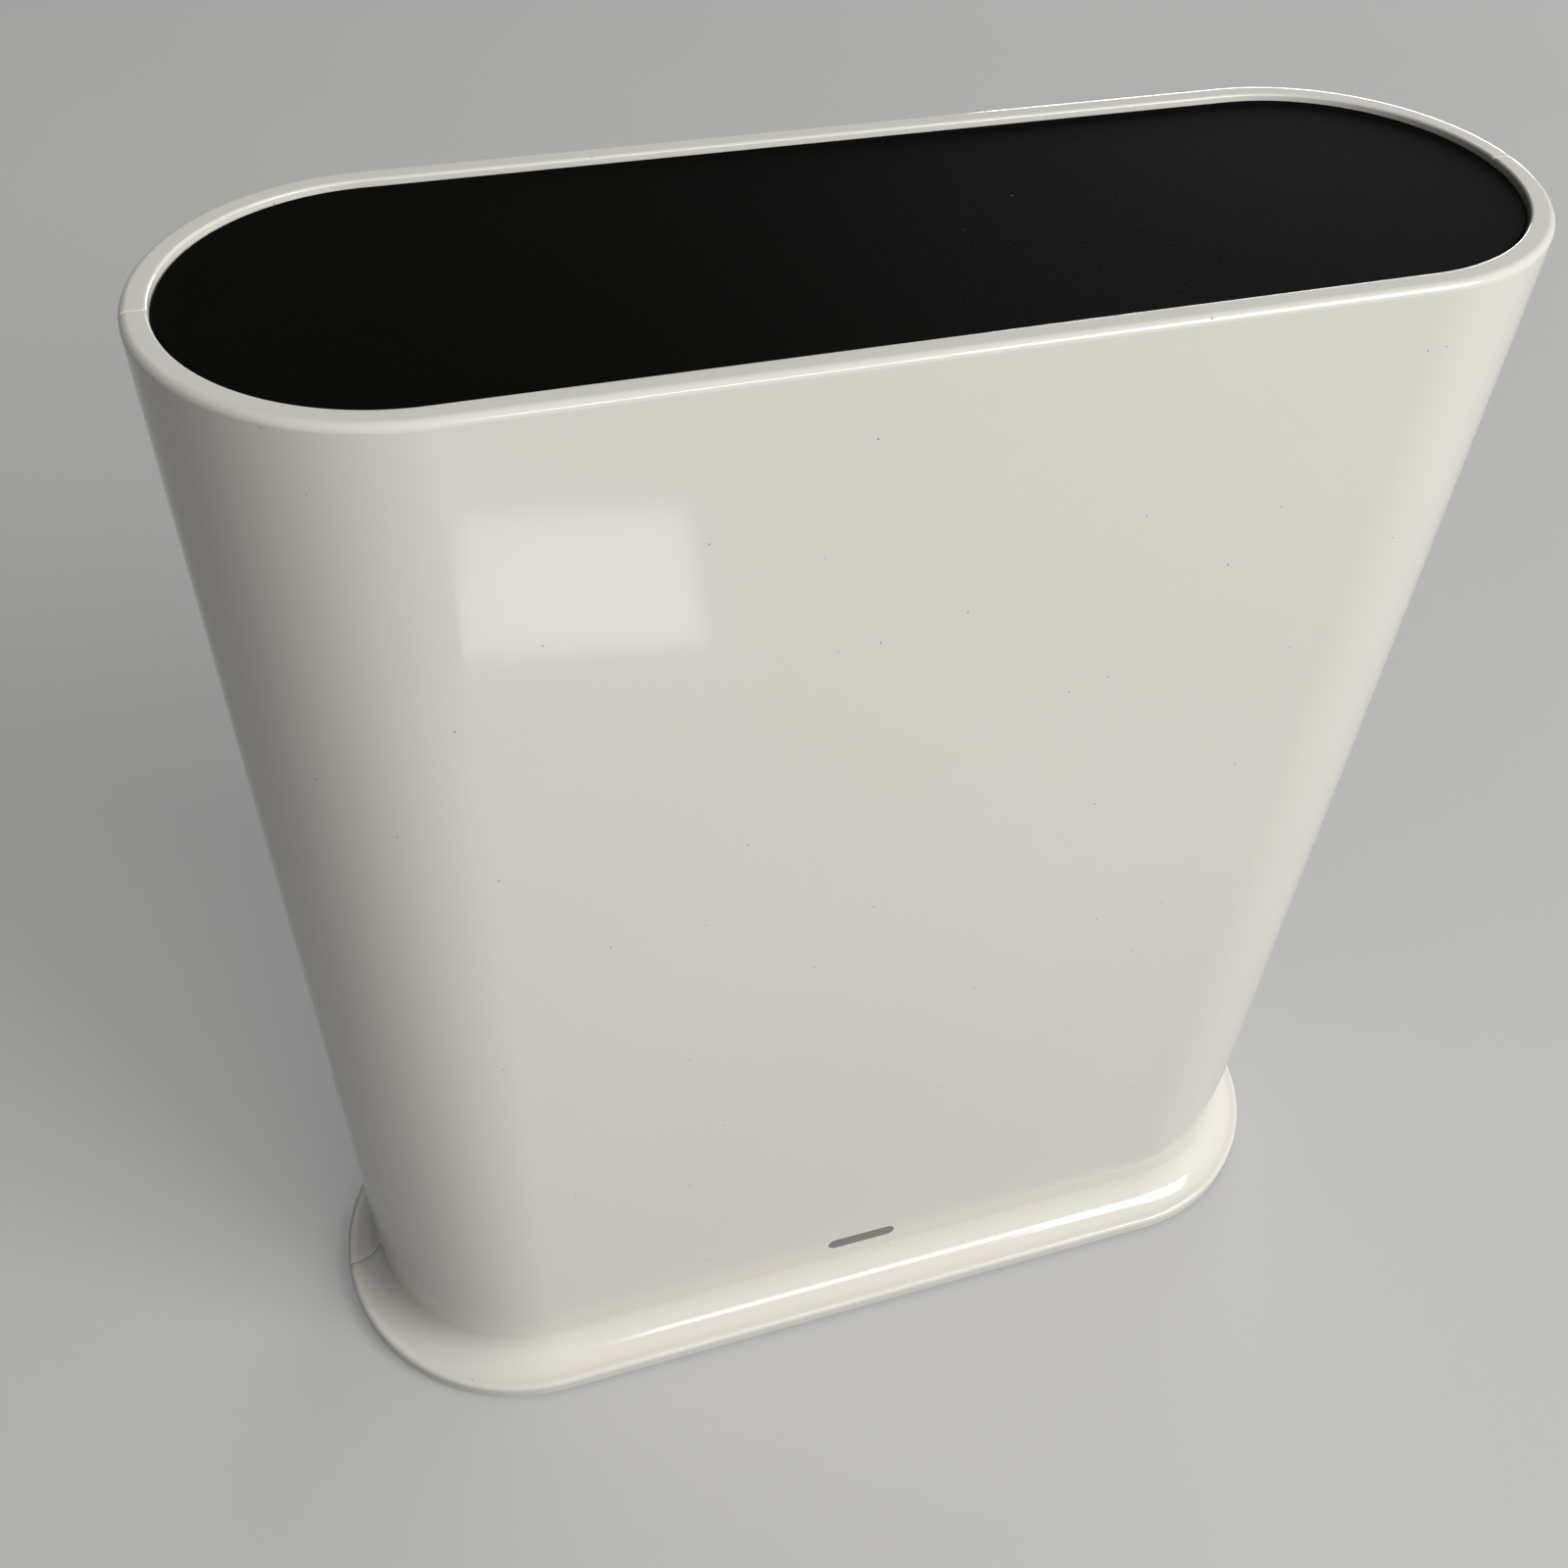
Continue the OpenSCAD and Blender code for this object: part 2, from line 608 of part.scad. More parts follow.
// Black panel behind the window, with the openings for the ports, the button guides and two screw ears
module port_panel() {
    ear_y = panel_boss_y - panel_ear_t;
    ear_h = 2 * panel_boss_r + panel_ear_more;
    riser_x = window_w / 2 + panel_lap - panel_riser_t;
    color("#1b1c1e") difference() {
        union() {
            along_y(panel_front_y, panel_t) translate([0, z_port])
                rounded(window_w + 2 * panel_lap, window_h + 2 * panel_lap, window_r + panel_lap);
            along_y(panel_front_y, panel_face_y - panel_front_y) translate([0, z_port])
                rounded(window_w - 2 * panel_fit, window_h - 2 * panel_fit, window_r - panel_fit);
            rod_y(sync_x, panel_front_y - guide_l, z_port, sync_guide_r, guide_l + overlap);
            rod_y(reset_x, panel_front_y - guide_l, z_port, reset_guide_r, guide_l + overlap);
            for (s = [-1, 1]) scale([s, 1, 1]) translate([riser_x, ear_y, z_port - ear_h / 2]) {
                cube([panel_screw_x + panel_boss_r - riser_x, panel_ear_t, ear_h]);
                cube([panel_riser_t, panel_front_y - ear_y + overlap, ear_h]);
            }
        }
        box_y(ethernet_x, 0, z_port, shield_w + 2 * panel_fit, foot_r, shield_h + 2 * panel_fit);
        box_y(usb_x, 0, z_port, usb_w + 2 * panel_fit, foot_r, usb_h + 2 * panel_fit);
        rod_y(power_x, 0, z_port, power_r + panel_fit, foot_r);
        rod_y(sync_x, 0, z_port, sync_r + button_fit, foot_r);
        rod_y(sync_x, 0, z_port, sync_flange_r + button_fit, panel_front_y);
        rod_y(reset_x, 0, z_port, reset_hole_r, foot_r);
        rod_y(reset_x, 0, z_port, reset_head_r + button_fit, panel_front_y);
        for (x = panel_screws_x)
            rod_y(x, ear_y - through, z_port, screw_r + screw_clear, panel_ear_t + 2 * through);
    }
}

module panel_screws() {
    color("#8f9296") for (x = panel_screws_x) translate([x, panel_boss_y - panel_ear_t, z_port])
        rotate([-90, 0, 0]) screw(panel_ear_t + panel_screw_grip);
}

// Folded metal can round the network jack, open at the mouth and at the board
module ethernet_shield() {
    color("#b9bcc0") difference() {
        box_y(ethernet_x, board_rear_y, z_port, shield_w, jack_depth, shield_h);
        box_y(ethernet_x, board_rear_y - through, z_port, shield_w - 2 * shield_t,
            jack_depth + through - shield_t, shield_h - 2 * shield_t);
        box_y(ethernet_x, board_rear_y, z_port, plug_w + 2 * shield_mouth, jack_depth + through,
            shield_h - 2 * shield_lip);
    }
}

// Black moulding inside the can with the socket for the plug and the groove for its latch
plug_z = z_port + latch_h / 2;

module ethernet_insert() {
    skin = shield_t + insert_fit;
    color("#202123") difference() {
        box_y(ethernet_x, board_rear_y, z_port, shield_w - 2 * skin, jack_depth - skin, shield_h - 2 * skin);
        box_y(ethernet_x, port_face_y - plug_depth, plug_z, plug_w, plug_depth + through, plug_h);
        box_y(ethernet_x, port_face_y - latch_depth, plug_z - plug_h / 2, latch_w, latch_depth + through,
            2 * latch_h);
    }
}

// Eight spring wires that slope down into the socket from its upper wall
contact_n = 8;
contact_pitch = 1.02;
contact_w = 0.4;
contact_t = 0.3;
contact_l = 9.4;
contact_drop = 2.2;
contact_flat = 1;

module ethernet_contacts() {
    top = plug_z + plug_h / 2;
    low = top - contact_drop;
    start_x = ethernet_x - (contact_n - 1) / 2 * contact_pitch - contact_w / 2;
    color("#d8b45a") for (i = [0:contact_n - 1])
        translate([start_x + i * contact_pitch, port_face_y - plug_depth, 0])
            rotate([90, 0, 90]) linear_extrude(contact_w)
                polygon([[0, low], [0, low + contact_t], [contact_l - contact_flat, top], [contact_l, top],
                    [contact_l, top - contact_t], [contact_l - contact_flat * 0.8, top - contact_t]]);
}

// Metal shell of the storage jack, a tube of flat walls
module usb_shell() {
    color("#c3c6ca") difference() {
        box_y(usb_x, board_rear_y, z_port, usb_w, jack_depth, usb_h);
        box_y(usb_x, board_rear_y - through, z_port, usb_w - 2 * usb_t, jack_depth + 2 * through,
            usb_h - 2 * usb_t);
    }
}

// Insulator of the storage jack: a block at the board and the tongue in the socket
tongue_w = 11.1;
tongue_t = 1.84;
tongue_gap = 0.72;
tongue_short = 1;
tongue_z = z_port + usb_h / 2 - usb_t - tongue_gap - tongue_t / 2;

module usb_tongue() {
    skin = usb_t + insert_fit;
    color("#f2f2ee") union() {
        box_y(usb_x, board_rear_y, z_port, usb_w - 2 * skin, jack_depth - usb_depth, usb_h - 2 * skin);
        box_y(usb_x, board_rear_y, tongue_z, tongue_w, jack_depth - tongue_short, tongue_t);
    }
}

// Four flat contacts under the tongue
usb_contact_pitch = 2.3;
usb_contact_w = 1;
usb_contact_t = 0.2;
usb_contact_l = 7;

module usb_contacts() {
    z = tongue_z - tongue_t / 2 - usb_contact_t / 2;
    color("#d8b45a") for (i = [-1.5:1.5]) box_y(usb_x + i * usb_contact_pitch, port_face_y - usb_depth, z,
        usb_contact_w, usb_contact_l, usb_contact_t);
}

// Round power jack with its centre pin
module power_jack() {
    color("#1b1c1e") difference() {
        rod_y(power_x, board_rear_y, z_port, power_r, jack_depth);
        rod_y(power_x, port_face_y - power_depth, z_port, power_bore_r, power_depth + through);
    }
}

power_pin_short = 0.8;

module power_jack_pin() {
    color("#c3c6ca") rod_y(power_x, port_face_y - power_depth, z_port, power_pin_r,
        power_depth - power_pin_short);
}

// Switches on the board: a square body with a bore that the plunger slides in
switch_w = 6;
switch_h = 3.5;
switch_floor = 0.6;
plunger_r = 1.7;
plunger_top = 5;                        // height of a plunger above the board at rest
plunger_spare = 0.1;                    // room left under a plunger at the end of its travel

module tact_switch(x) {
    color("#2a2b2d") difference() {
        box_y(x, board_rear_y, z_port, switch_w, switch_h, switch_w);
        rod_y(x, board_rear_y + switch_floor, z_port, plunger_r + button_fit, switch_h);
    }
}

module plunger(x, travel) {
    low = switch_floor + travel + plunger_spare;
    color("#d9d4c4") rod_y(x, board_rear_y + low, z_port, plunger_r, plunger_top - low);
}

module sync_switch() { tact_switch(sync_x); }
module reset_switch() { tact_switch(reset_x); }
module sync_plunger() { plunger(sync_x, sync_travel); }
module reset_plunger() { plunger(reset_x, reset_travel); }

// Push button: a dished round cap, a flange that holds it behind the panel, and a stem to the switch
module sync_button() {
    flange_top = panel_front_y - button_rest;
    cap_top = panel_face_y + sync_proud;
    stem_y = board_rear_y + plunger_top;
    dish_r = (pow(sync_r * 0.9, 2) + pow(sync_dish, 2)) / (2 * sync_dish);
    color("#e9e8e2") difference() {
        union() {
            rod_y(sync_x, flange_top - sync_flange_t, z_port, sync_flange_r, sync_flange_t);
            rod_y(sync_x, flange_top - overlap, z_port, sync_r, cap_top - flange_top + overlap);
            rod_y(sync_x, stem_y, z_port, plunger_r, flange_top - overlap - stem_y);
        }
        translate([sync_x, cap_top + dish_r - sync_dish, z_port]) sphere(dish_r);
    }
}

// Reset key: a headed stem behind the pin hole
reset_stem_r = 1.3;

module reset_key() {
    head_top = panel_front_y - button_rest;
    stem_y = board_rear_y + plunger_top;
    color("#e9e8e2") union() {
        rod_y(reset_x, head_top - reset_head_l, z_port, reset_head_r, reset_head_l);
        rod_y(reset_x, stem_y, z_port, reset_stem_r, head_top - overlap - stem_y);
    }
}

// Down the front of the board from its top edge: antenna sockets, radio cans, heat sink
socket_in = 3;
can_gap = 6;
can_x = 21;
can_w = 30;
can_h = 12;
can_t = 2.4;
can_skin = 0.4;
sink_gap = 1;
socket_z = z_board_top - socket_in;
can_z = socket_z - can_gap - can_h / 2;
sink_h = board_h - socket_in - can_gap - can_h - sink_gap - sink_low;
z_sink = z_board + sink_low + sink_h / 2;
sink_back_y = board_front_y - chip_t - thermal_t;

// Heat sink legs stand on the board and take screws through it
sink_screw_in = 4;
sink_leg_r = 2.5;
sink_bore_in = 1;
sink_screw_spare = 0.2;
sink_places = [for (i = [-1, 1], j = [-1, 1])
    [i * (sink_w / 2 - sink_screw_in), z_sink + j * (sink_h / 2 - sink_screw_in)]];

// Upright circuit board on the four posts
module main_board() {
    color("#2f6b3f") difference() {
        translate([-board_w / 2, board_front_y, z_board]) cube([board_w, board_t, board_h]);
        for (p = concat(board_posts, sink_places))
            rod_y(p[0], board_front_y - through, p[1], screw_r + screw_clear, board_t + 2 * through);
    }
}

module board_screws() {
    color("#8f9296") for (p = board_posts)
        translate([p[0], board_front_y, p[1]]) rotate([-90, 0, 0]) screw(board_t + screw_grip);
}

// Chips on the board's front face, under the heat sink
processor_w = 17;
memory_w = 9;
memory_h = 13;
memory_gap = 7;
memory_x = processor_w / 2 + memory_gap + memory_w / 2;

module processor() {
    color("#26272a") box_y(0, board_front_y - chip_t, z_sink, processor_w, chip_t, processor_w);
}

module memory_chips() {
    color("#26272a") for (s = [-1, 1])
        box_y(s * memory_x, board_front_y - chip_t, z_sink, memory_w, chip_t, memory_h);
}

module thermal_pads() {
    color("#9aa7b8") {
        box_y(0, sink_back_y, z_sink, processor_w, thermal_t, processor_w);
        for (s = [-1, 1]) box_y(s * memory_x, sink_back_y, z_sink, memory_w, thermal_t, memory_h);
    }
}

// Finned heat sink pressed on the chips
module heat_sink() {
    fin_pitch = (sink_w - fin_t) / (fin_n - 1);
    fin_y = sink_back_y - sink_t - fin_l;
    leg_l = board_front_y - sink_back_y;
    color("#b4b8bc") difference() {
        union() {
            box_y(0, sink_back_y - sink_t, z_sink, sink_w, sink_t, sink_h);
            for (i = [0:fin_n - 1])
                box_y((fin_t - sink_w) / 2 + i * fin_pitch, fin_y, z_sink, fin_t, fin_l + overlap, sink_h);
            for (p = sink_places) rod_y(p[0], sink_back_y - overlap, p[1], sink_leg_r, leg_l + overlap);
        }
        for (p = sink_places) rod_y(p[0], sink_back_y - sink_bore_in, p[1], screw_r + screw_fit,
            leg_l + sink_bore_in + through);
    }
}

module sink_screws() {
    color("#8f9296") for (p = sink_places) translate([p[0], board_rear_y, p[1]]) rotate([90, 0, 0])
        screw(board_rear_y - sink_back_y + sink_bore_in - sink_screw_spare);
}

// Two folded cans over the radio circuits, above the heat sink
module radio_shields() {
    can_y = board_front_y - can_t;
    color("#b9bcc0") for (s = [-1, 1]) difference() {
        box_y(s * can_x, can_y, can_z, can_w, can_t, can_h);
        box_y(s * can_x, can_y + can_skin, can_z, can_w - 2 * can_skin, can_t, can_h - 2 * can_skin);
    }
}

// Power supply parts on the board's rear face, above the power jack: two capacitors and a coil
cap_r = 3.15;
cap_l = 7.5;
cap_gap = 1;
cap_up = 22;
coil_w = 7;
coil_t = 3.6;
coil_gap = 2;

module power_parts() {
    z = z_port + cap_up;
    color("#3b3f52") {
        for (s = [-1, 1]) rod_y(power_x + s * (cap_r + cap_gap), board_rear_y, z, cap_r, cap_l);
        box_y(power_x, board_rear_y, z + cap_r + coil_gap + coil_w / 2, coil_w, coil_t, coil_w);
    }
}

// Transformer block of the network jack, above it
transformer_w = 12.6;
transformer_h = 9.5;
transformer_t = 4.2;
transformer_up = 17;

module network_transformer() {
    color("#232427") box_y(ethernet_x, board_rear_y, z_port + transformer_up,
        transformer_w, transformer_t, transformer_h);
}

// Plastic frame above the board that carries the three antennas on pegs
antenna_y = board_rear_y - frame_t;     // front face of the frame
side_antenna_x = frame_w / 2 - antenna_margin - side_antenna_w / 2;
side_antenna_h = frame_h - 2 * antenna_margin;
top_antenna_z = z_frame + frame_h - antenna_margin - top_antenna_h / 2;
peg_r = 0.9;
peg_fit = 0.1;
peg_tip = 0.6;
peg_in = 3;
side_peg_z = side_antenna_h / 2 - peg_in;
top_peg_x = top_antenna_w / 2 - peg_in;
pegs = concat([for (i = [-1, 1], j = [-1, 1]) [i * side_antenna_x, z_frame_mid + j * side_peg_z]],
    [for (i = [-1, 1]) [i * top_peg_x, top_antenna_z]]);
clip_x = 3;
clip_gap = 0.3;
clip_t = 0.8;
clip_h = 4;
clip_reach = 2.4;
clip_drop = 5;
saving_w = 14;                          // openings that save plastic
saving_r = 3;
saving_x = 18;

module antenna_frame() {
    color("#3a3c3f") difference() {
        union() {
            along_y(antenna_y, frame_t) translate([0, z_frame_mid]) rounded(frame_w, frame_h, frame_r);
            for (p = pegs)
                rod_y(p[0], antenna_y - antenna_t - peg_tip, p[1], peg_r, antenna_t + peg_tip + overlap);
            for (s = [-1, 1])
                box_y(clip_x + s * (cable_d / 2 + clip_gap + clip_t / 2), antenna_y - clip_reach,
                    z_frame_mid - clip_drop, clip_t, clip_reach + overlap, clip_h);
        }
        for (s = [-1, 1]) along_y(antenna_y - through, frame_t + 2 * through)
            translate([s * saving_x, z_frame_mid]) rounded(saving_w, saving_w, saving_r);
        for (p = frame_posts)
            rod_y(p[0], antenna_y - through, p[1], screw_r + screw_clear, frame_t + 2 * through);
    }
}

module frame_screws() {
    color("#8f9296") for (p = frame_posts)
        translate([p[0], antenna_y, p[1]]) rotate([-90, 0, 0]) screw(frame_t + screw_grip);
}

// A flat antenna board with holes for the frame's pegs
module antenna_board(x, z, w, h) {
    color("#b8893c") difference() {
        box_y(x, antenna_y - antenna_t, z, w, antenna_t, h);
        for (p = pegs)
            rod_y(p[0], antenna_y - antenna_t - through, p[1], peg_r + peg_fit, antenna_t + 2 * through);
    }
}

module left_antenna() { antenna_board(-side_antenna_x, z_frame_mid, side_antenna_w, side_antenna_h); }
module right_antenna() { antenna_board(side_antenna_x, z_frame_mid, side_antenna_w, side_antenna_h); }
module top_antenna() { antenna_board(0, top_antenna_z, top_antenna_w, top_antenna_h); }

// Small round sockets on the board and the plugs pressed on them, each with a square tail for its cable
socket_out = 30;
socket_x = [-socket_out, 0, socket_out];
socket_r = 1.4;
socket_t = 0.7;
cable_plug_r = 1.7;
cable_plug_t = 1.3;
tail_w = 1.6;
tail_l = 3;
cable_y = board_front_y - socket_t - cable_plug_t / 2;

module board_sockets() {
    color("#d8b45a") for (x = socket_x) rod_y(x, board_front_y - socket_t, socket_z, socket_r, socket_t);
}

module cable_plugs() {
    color("#c9b07a") for (x = socket_x) union() {
        rod_y(x, cable_y - cable_plug_t / 2, socket_z, cable_plug_r, cable_plug_t);
        box_y(x, cable_y - cable_plug_t / 2, socket_z + tail_l / 2, tail_w, cable_plug_t, tail_l);
    }
}

// A tube of eight sides along a smooth line through the given points, with an upright first ring
sides = 8;
steps = 4;
function spline(p, i, t) = let (a = p[max(i - 1, 0)], b = p[i], c = p[i + 1], d = p[min(i + 2, len(p) - 1)])
    0.5 * (2 * b + (c - a) * t + (2 * a - 5 * b + 4 * c - d) * t * t + (3 * b - a - 3 * c + d) * t * t * t);
function path(p) = concat([for (i = [0:len(p) - 2], k = [0:steps - 1]) spline(p, i, k / steps)],
    [p[len(p) - 1]]);
function unit(v) = v / norm(v);
function heading(p, i) = i == 0 ? [0, 0, 1] : unit(p[min(i + 1, len(p) - 1)] - p[i - 1]);
function ring(c, h, r) = let (u = unit(cross(h, [0, 1, 0])), v = cross(h, u))
    [for (k = [0:sides - 1]) c + r * (cos(360 * k / sides) * u + sin(360 * k / sides) * v)];

module tube(points, d) {
    line = path(points);
    n = len(line);
    last = (n - 1) * sides;
    rings = [for (i = [0:n - 1]) each ring(line[i], heading(line, i), d / 2)];
    walls = [for (i = [0:n - 2], k = [0:sides - 1]) let (a = i * sides + k, b = i * sides + (k + 1) % sides)
        each [[a, a + sides, b], [b, a + sides, b + sides]]];
    start_cap = [for (k = [1:sides - 2]) [0, k, k + 1]];
    end_cap = [for (k = [1:sides - 2]) [last, last + k + 1, last + k]];
    polyhedron(rings, concat(walls, start_cap, end_cap));
}

// Routes of the antenna cables from the plug's tail to the antenna, as shares of the way across, back and up
cable_gap = 0.1;
cable_end_in = 2;                       // how far short of an antenna's middle line a cable ends
cable_rise = 8;                         // how far a side cable climbs past the lower end of its antenna
cable_back = antenna_y - antenna_t - cable_gap - cable_d / 2 - cable_y;
z_tail = socket_z + tail_l;
side_way_x = side_antenna_x - cable_end_in - socket_out;
side_way_z = z_frame + antenna_margin + cable_rise - z_tail;
side_route = [[0, 0, 0], [0, 0.05, 0.125], [0.26, 0.4, 0.375], [0.61, 0.8, 0.56], [0.91, 1, 0.75], [1, 1, 1]];
top_route = [[0, 0, 0], [0, 0.05, 0.05], [0.33, 0.4, 0.14], [1, 0.8, 0.29], [1, 1, 0.48], [1, 1, 0.67],
    [0.33, 1, 0.86], [0, 1, 1]];

module antenna_cable(x, route, way) {
    points = [for (p = route) [x + p[0] * way[0], cable_y + p[1] * way[1], z_tail + p[2] * way[2]]];
    color("#202124") tube(points, cable_d);
}

module left_antenna_cable() {
    antenna_cable(-socket_out, side_route, [-side_way_x, cable_back, side_way_z]);
}

module right_antenna_cable() {
    antenna_cable(socket_out, side_route, [side_way_x, cable_back, side_way_z]);
}

module top_antenna_cable() {
    antenna_cable(0, top_route, [clip_x, cable_back, top_antenna_z - cable_end_in - z_tail]);
}

front_shell();
rear_shell();
top_plate();
base_cover();
base_screws();
rubber_feet();
light_pipe();
light_shroud();
status_led();
port_panel();
panel_screws();
ethernet_shield();
ethernet_insert();
ethernet_contacts();
usb_shell();
usb_tongue();
usb_contacts();
power_jack();
power_jack_pin();
sync_button();
sync_plunger();
sync_switch();
reset_key();
reset_plunger();
reset_switch();
main_board();
board_screws();
processor();
memory_chips();
thermal_pads();
heat_sink();
sink_screws();
radio_shields();
power_parts();
network_transformer();
antenna_frame();
frame_screws();
left_antenna();
right_antenna();
top_antenna();
board_sockets();
cable_plugs();
left_antenna_cable();
right_antenna_cable();
top_antenna_cable();
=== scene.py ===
from collections import namedtuple
import math

import bmesh
import bpy
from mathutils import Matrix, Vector


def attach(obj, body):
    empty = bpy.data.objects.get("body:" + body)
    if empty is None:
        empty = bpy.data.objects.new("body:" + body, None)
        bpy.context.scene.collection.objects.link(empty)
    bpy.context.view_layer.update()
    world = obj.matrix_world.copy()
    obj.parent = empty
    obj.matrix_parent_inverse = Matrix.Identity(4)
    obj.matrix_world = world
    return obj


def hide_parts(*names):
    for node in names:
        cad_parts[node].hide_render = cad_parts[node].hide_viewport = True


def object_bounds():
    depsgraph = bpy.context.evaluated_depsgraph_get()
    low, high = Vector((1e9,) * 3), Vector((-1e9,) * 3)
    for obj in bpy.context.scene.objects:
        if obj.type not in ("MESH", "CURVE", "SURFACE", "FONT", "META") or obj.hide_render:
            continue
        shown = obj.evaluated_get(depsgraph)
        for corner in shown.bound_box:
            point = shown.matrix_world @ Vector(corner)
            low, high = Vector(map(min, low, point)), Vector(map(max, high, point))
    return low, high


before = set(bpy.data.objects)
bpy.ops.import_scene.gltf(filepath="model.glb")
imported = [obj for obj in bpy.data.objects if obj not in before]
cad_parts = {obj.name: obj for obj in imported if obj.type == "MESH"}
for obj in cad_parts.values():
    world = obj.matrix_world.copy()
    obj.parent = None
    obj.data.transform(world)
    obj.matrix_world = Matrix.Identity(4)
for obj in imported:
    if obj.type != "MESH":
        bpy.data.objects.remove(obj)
cad_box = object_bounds()

# The view: from close above the front left corner, down on the front and the whole top.
# Its place, turn, lens and shift were solved from the outlines of the rim, the body and the foot.
bpy.ops.object.camera_add(location=(-0.060109, -0.147155, 0.249862),
    rotation=(0.781636, -0.037534, -0.306825))
camera = bpy.context.object
camera.name = "view"
camera.data.sensor_width = 36
camera.data.lens = 37.512
camera.data.shift_x = -0.0051
camera.data.shift_y = 0.008
camera.data.clip_start = 0.01
bpy.context.scene.camera = camera

# Rear half of the shell: gloss ABS, moulded with a flared foot, a rolled rim and a ledge for the top plate.
# Its section is drawn once at a corner, drawn straight along the side and spun round both ends.
# A window for the jacks and the air slots go through its wall, and posts inside it take the screws.
MM = 0.001                                    # in metres; the sizes of the pieces are in mm
FOOT_R = round(cad_box[1][1] / MM, 2)
SIDE = round(cad_box[1][0] / MM, 2) - FOOT_R  # half the length of the straight sides
RIM_Z = round(cad_box[1][2] / MM, 2)
FOOT_OUT = 5.0                                # how far the foot stands out past the rim
RIM_R = FOOT_R - FOOT_OUT
RIM_W = 2.7
RIM_IN_R = RIM_R - RIM_W
RIM_ROUND = 0.9
RIM_IN_ROUND = 0.3
TAPER = 0.8                                   # how far the wall draws in from the rim to the neck
NECK_R = RIM_R - TAPER
WALL = 2.2
SEAM = 0.16                                   # gap between the two halves
FOOT_Z = 0.6                                  # underside of the foot, above its rubber feet
FOOT_T = 2.6
FOOT_TOP = FOOT_Z + FOOT_T
FOOT_ROUND = 0.8
FOOT_LOW_ROUND = 0.25
FLARE_R = 6.0
FLARE_DIP = 0.2                               # the flare's circle runs this far below the top of the foot
FLARE_Z = FOOT_TOP + FLARE_R - FLARE_DIP
BASE_T = 2.0
BASE_TOP = FOOT_Z + BASE_T
BASE_GAP = 0.2
PLATE_T = 2.0
PLATE_DROP = 0.6                              # the top plate's face below the rim
PLATE_Z = RIM_Z - PLATE_DROP - PLATE_T
LEDGE_W = 1.6
LEDGE_T = 1.6
LEDGE_R = RIM_IN_R - LEDGE_W
LEDGE_Z = PLATE_Z - LEDGE_T
BRACE_H = 2.1                                 # height of the slope under the ledge
PILOT_R = 1.25
PILOT_DEPTH = 10.0
PILOT_FLOOR = 0.8                             # what a pilot hole leaves of a short post
WINDOW_W = 84.0
WINDOW_H = 20.0
WINDOW_ROUND = 5.0
CUT_Y = 15.0                                  # cutters of the walls run from here outwards
CUT_LENGTH = 15.0
VENT_R = 0.9
VENT_HALF = 10.1                              # half the straight length of an air slot
VENT_Z = 140.6
VENTS = [5.0 * i for i in range(-5, 6)]
BOARD_HOLE_IN = 4.0
FRAME_HOLE_X = 30.0
FRAME_HOLE_UP = 5.5
PANEL_SCREW_X = 47.7
PANEL_SCREW_Y = 18.0
BASE_SCREW_X = 44.2
BASE_SCREW_Y = 18.9
LIP_Z = 89.0                                  # middle of the lips inside the ends
LIP_LEAN = 0.73                               # how far the ends lean out over a lip's height
Corner = namedtuple("Corner", "x y z")


def span(name):
    """The low and the high corner of a solid of the frame, in mm."""
    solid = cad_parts[name]
    points = [solid.matrix_world @ vertex.co / MM for vertex in solid.data.vertices]
    return [Corner(*[round(limit(values), 3) for values in zip(*points)]) for limit in (min, max)]


def clear():
    """Back to object mode, with nothing selected."""
    if bpy.context.mode != "OBJECT":
        bpy.ops.object.mode_set(mode="OBJECT")
    bpy.ops.object.select_all(action="DESELECT")


def work(name):
    """Names the new primitive, moves its place into its mesh and opens it for modelling."""
    piece = bpy.context.object
    piece.name = piece.data.name = name
    bpy.ops.object.transform_apply(location=True, rotation=True, scale=True)
    bpy.ops.object.mode_set(mode="EDIT")
    bpy.ops.mesh.select_mode(type="VERT")
    bpy.ops.mesh.select_all(action="SELECT")
    return piece


def pick(kind, test, way=None):
    """Selects the points, edges or faces whose points, in mm, all pass the test.

    With a way, edges have to run along it and faces have to face it.
    """
    bpy.ops.mesh.select_mode(type=kind)
    bpy.ops.mesh.select_all(action="DESELECT")
    mesh = bmesh.from_edit_mesh(bpy.context.object.data)
    for item in {"VERT": mesh.verts, "EDGE": mesh.edges, "FACE": mesh.faces}[kind]:
        points = [item.co] if kind == "VERT" else [v.co for v in item.verts]
        lies = (points[1] - points[0]).normalized() if kind == "EDGE" else item.normal
        if all(test(point / MM) for point in points) and (way is None or lies.dot(Vector(way)) ** 2 > 0.9):
            item.select_set(True)
    mesh.select_flush_mode()
    bmesh.update_edit_mesh(bpy.context.object.data)


def push(x, y, z):
    """Extrudes what is selected, by a way in mm."""
    bpy.ops.mesh.extrude_region_move(TRANSFORM_OT_translate={"value": (x * MM, y * MM, z * MM)})


def shift(x, y, z):
    """Moves what is selected, by a way in mm."""
    bpy.ops.transform.translate(value=(x * MM, y * MM, z * MM))


def inset(width):
    """Draws the selected face's outline inwards by a width in mm."""
    bpy.ops.mesh.inset(thickness=width * MM, use_even_offset=True)


def soften(width, steps=2):
    """Rounds the selected edges, or cuts them off in one step."""
    bpy.ops.mesh.bevel(offset=width * MM, offset_type="OFFSET", segments=steps, profile=0.5,
        clamp_overlap=True)


def tidy():
    """Joins the points that lie together and turns all faces outwards."""
    bpy.ops.mesh.select_mode(type="VERT")
    bpy.ops.mesh.select_all(action="SELECT")
    bpy.ops.mesh.remove_doubles(threshold=4e-6)
    bpy.ops.mesh.normals_make_consistent(inside=False)


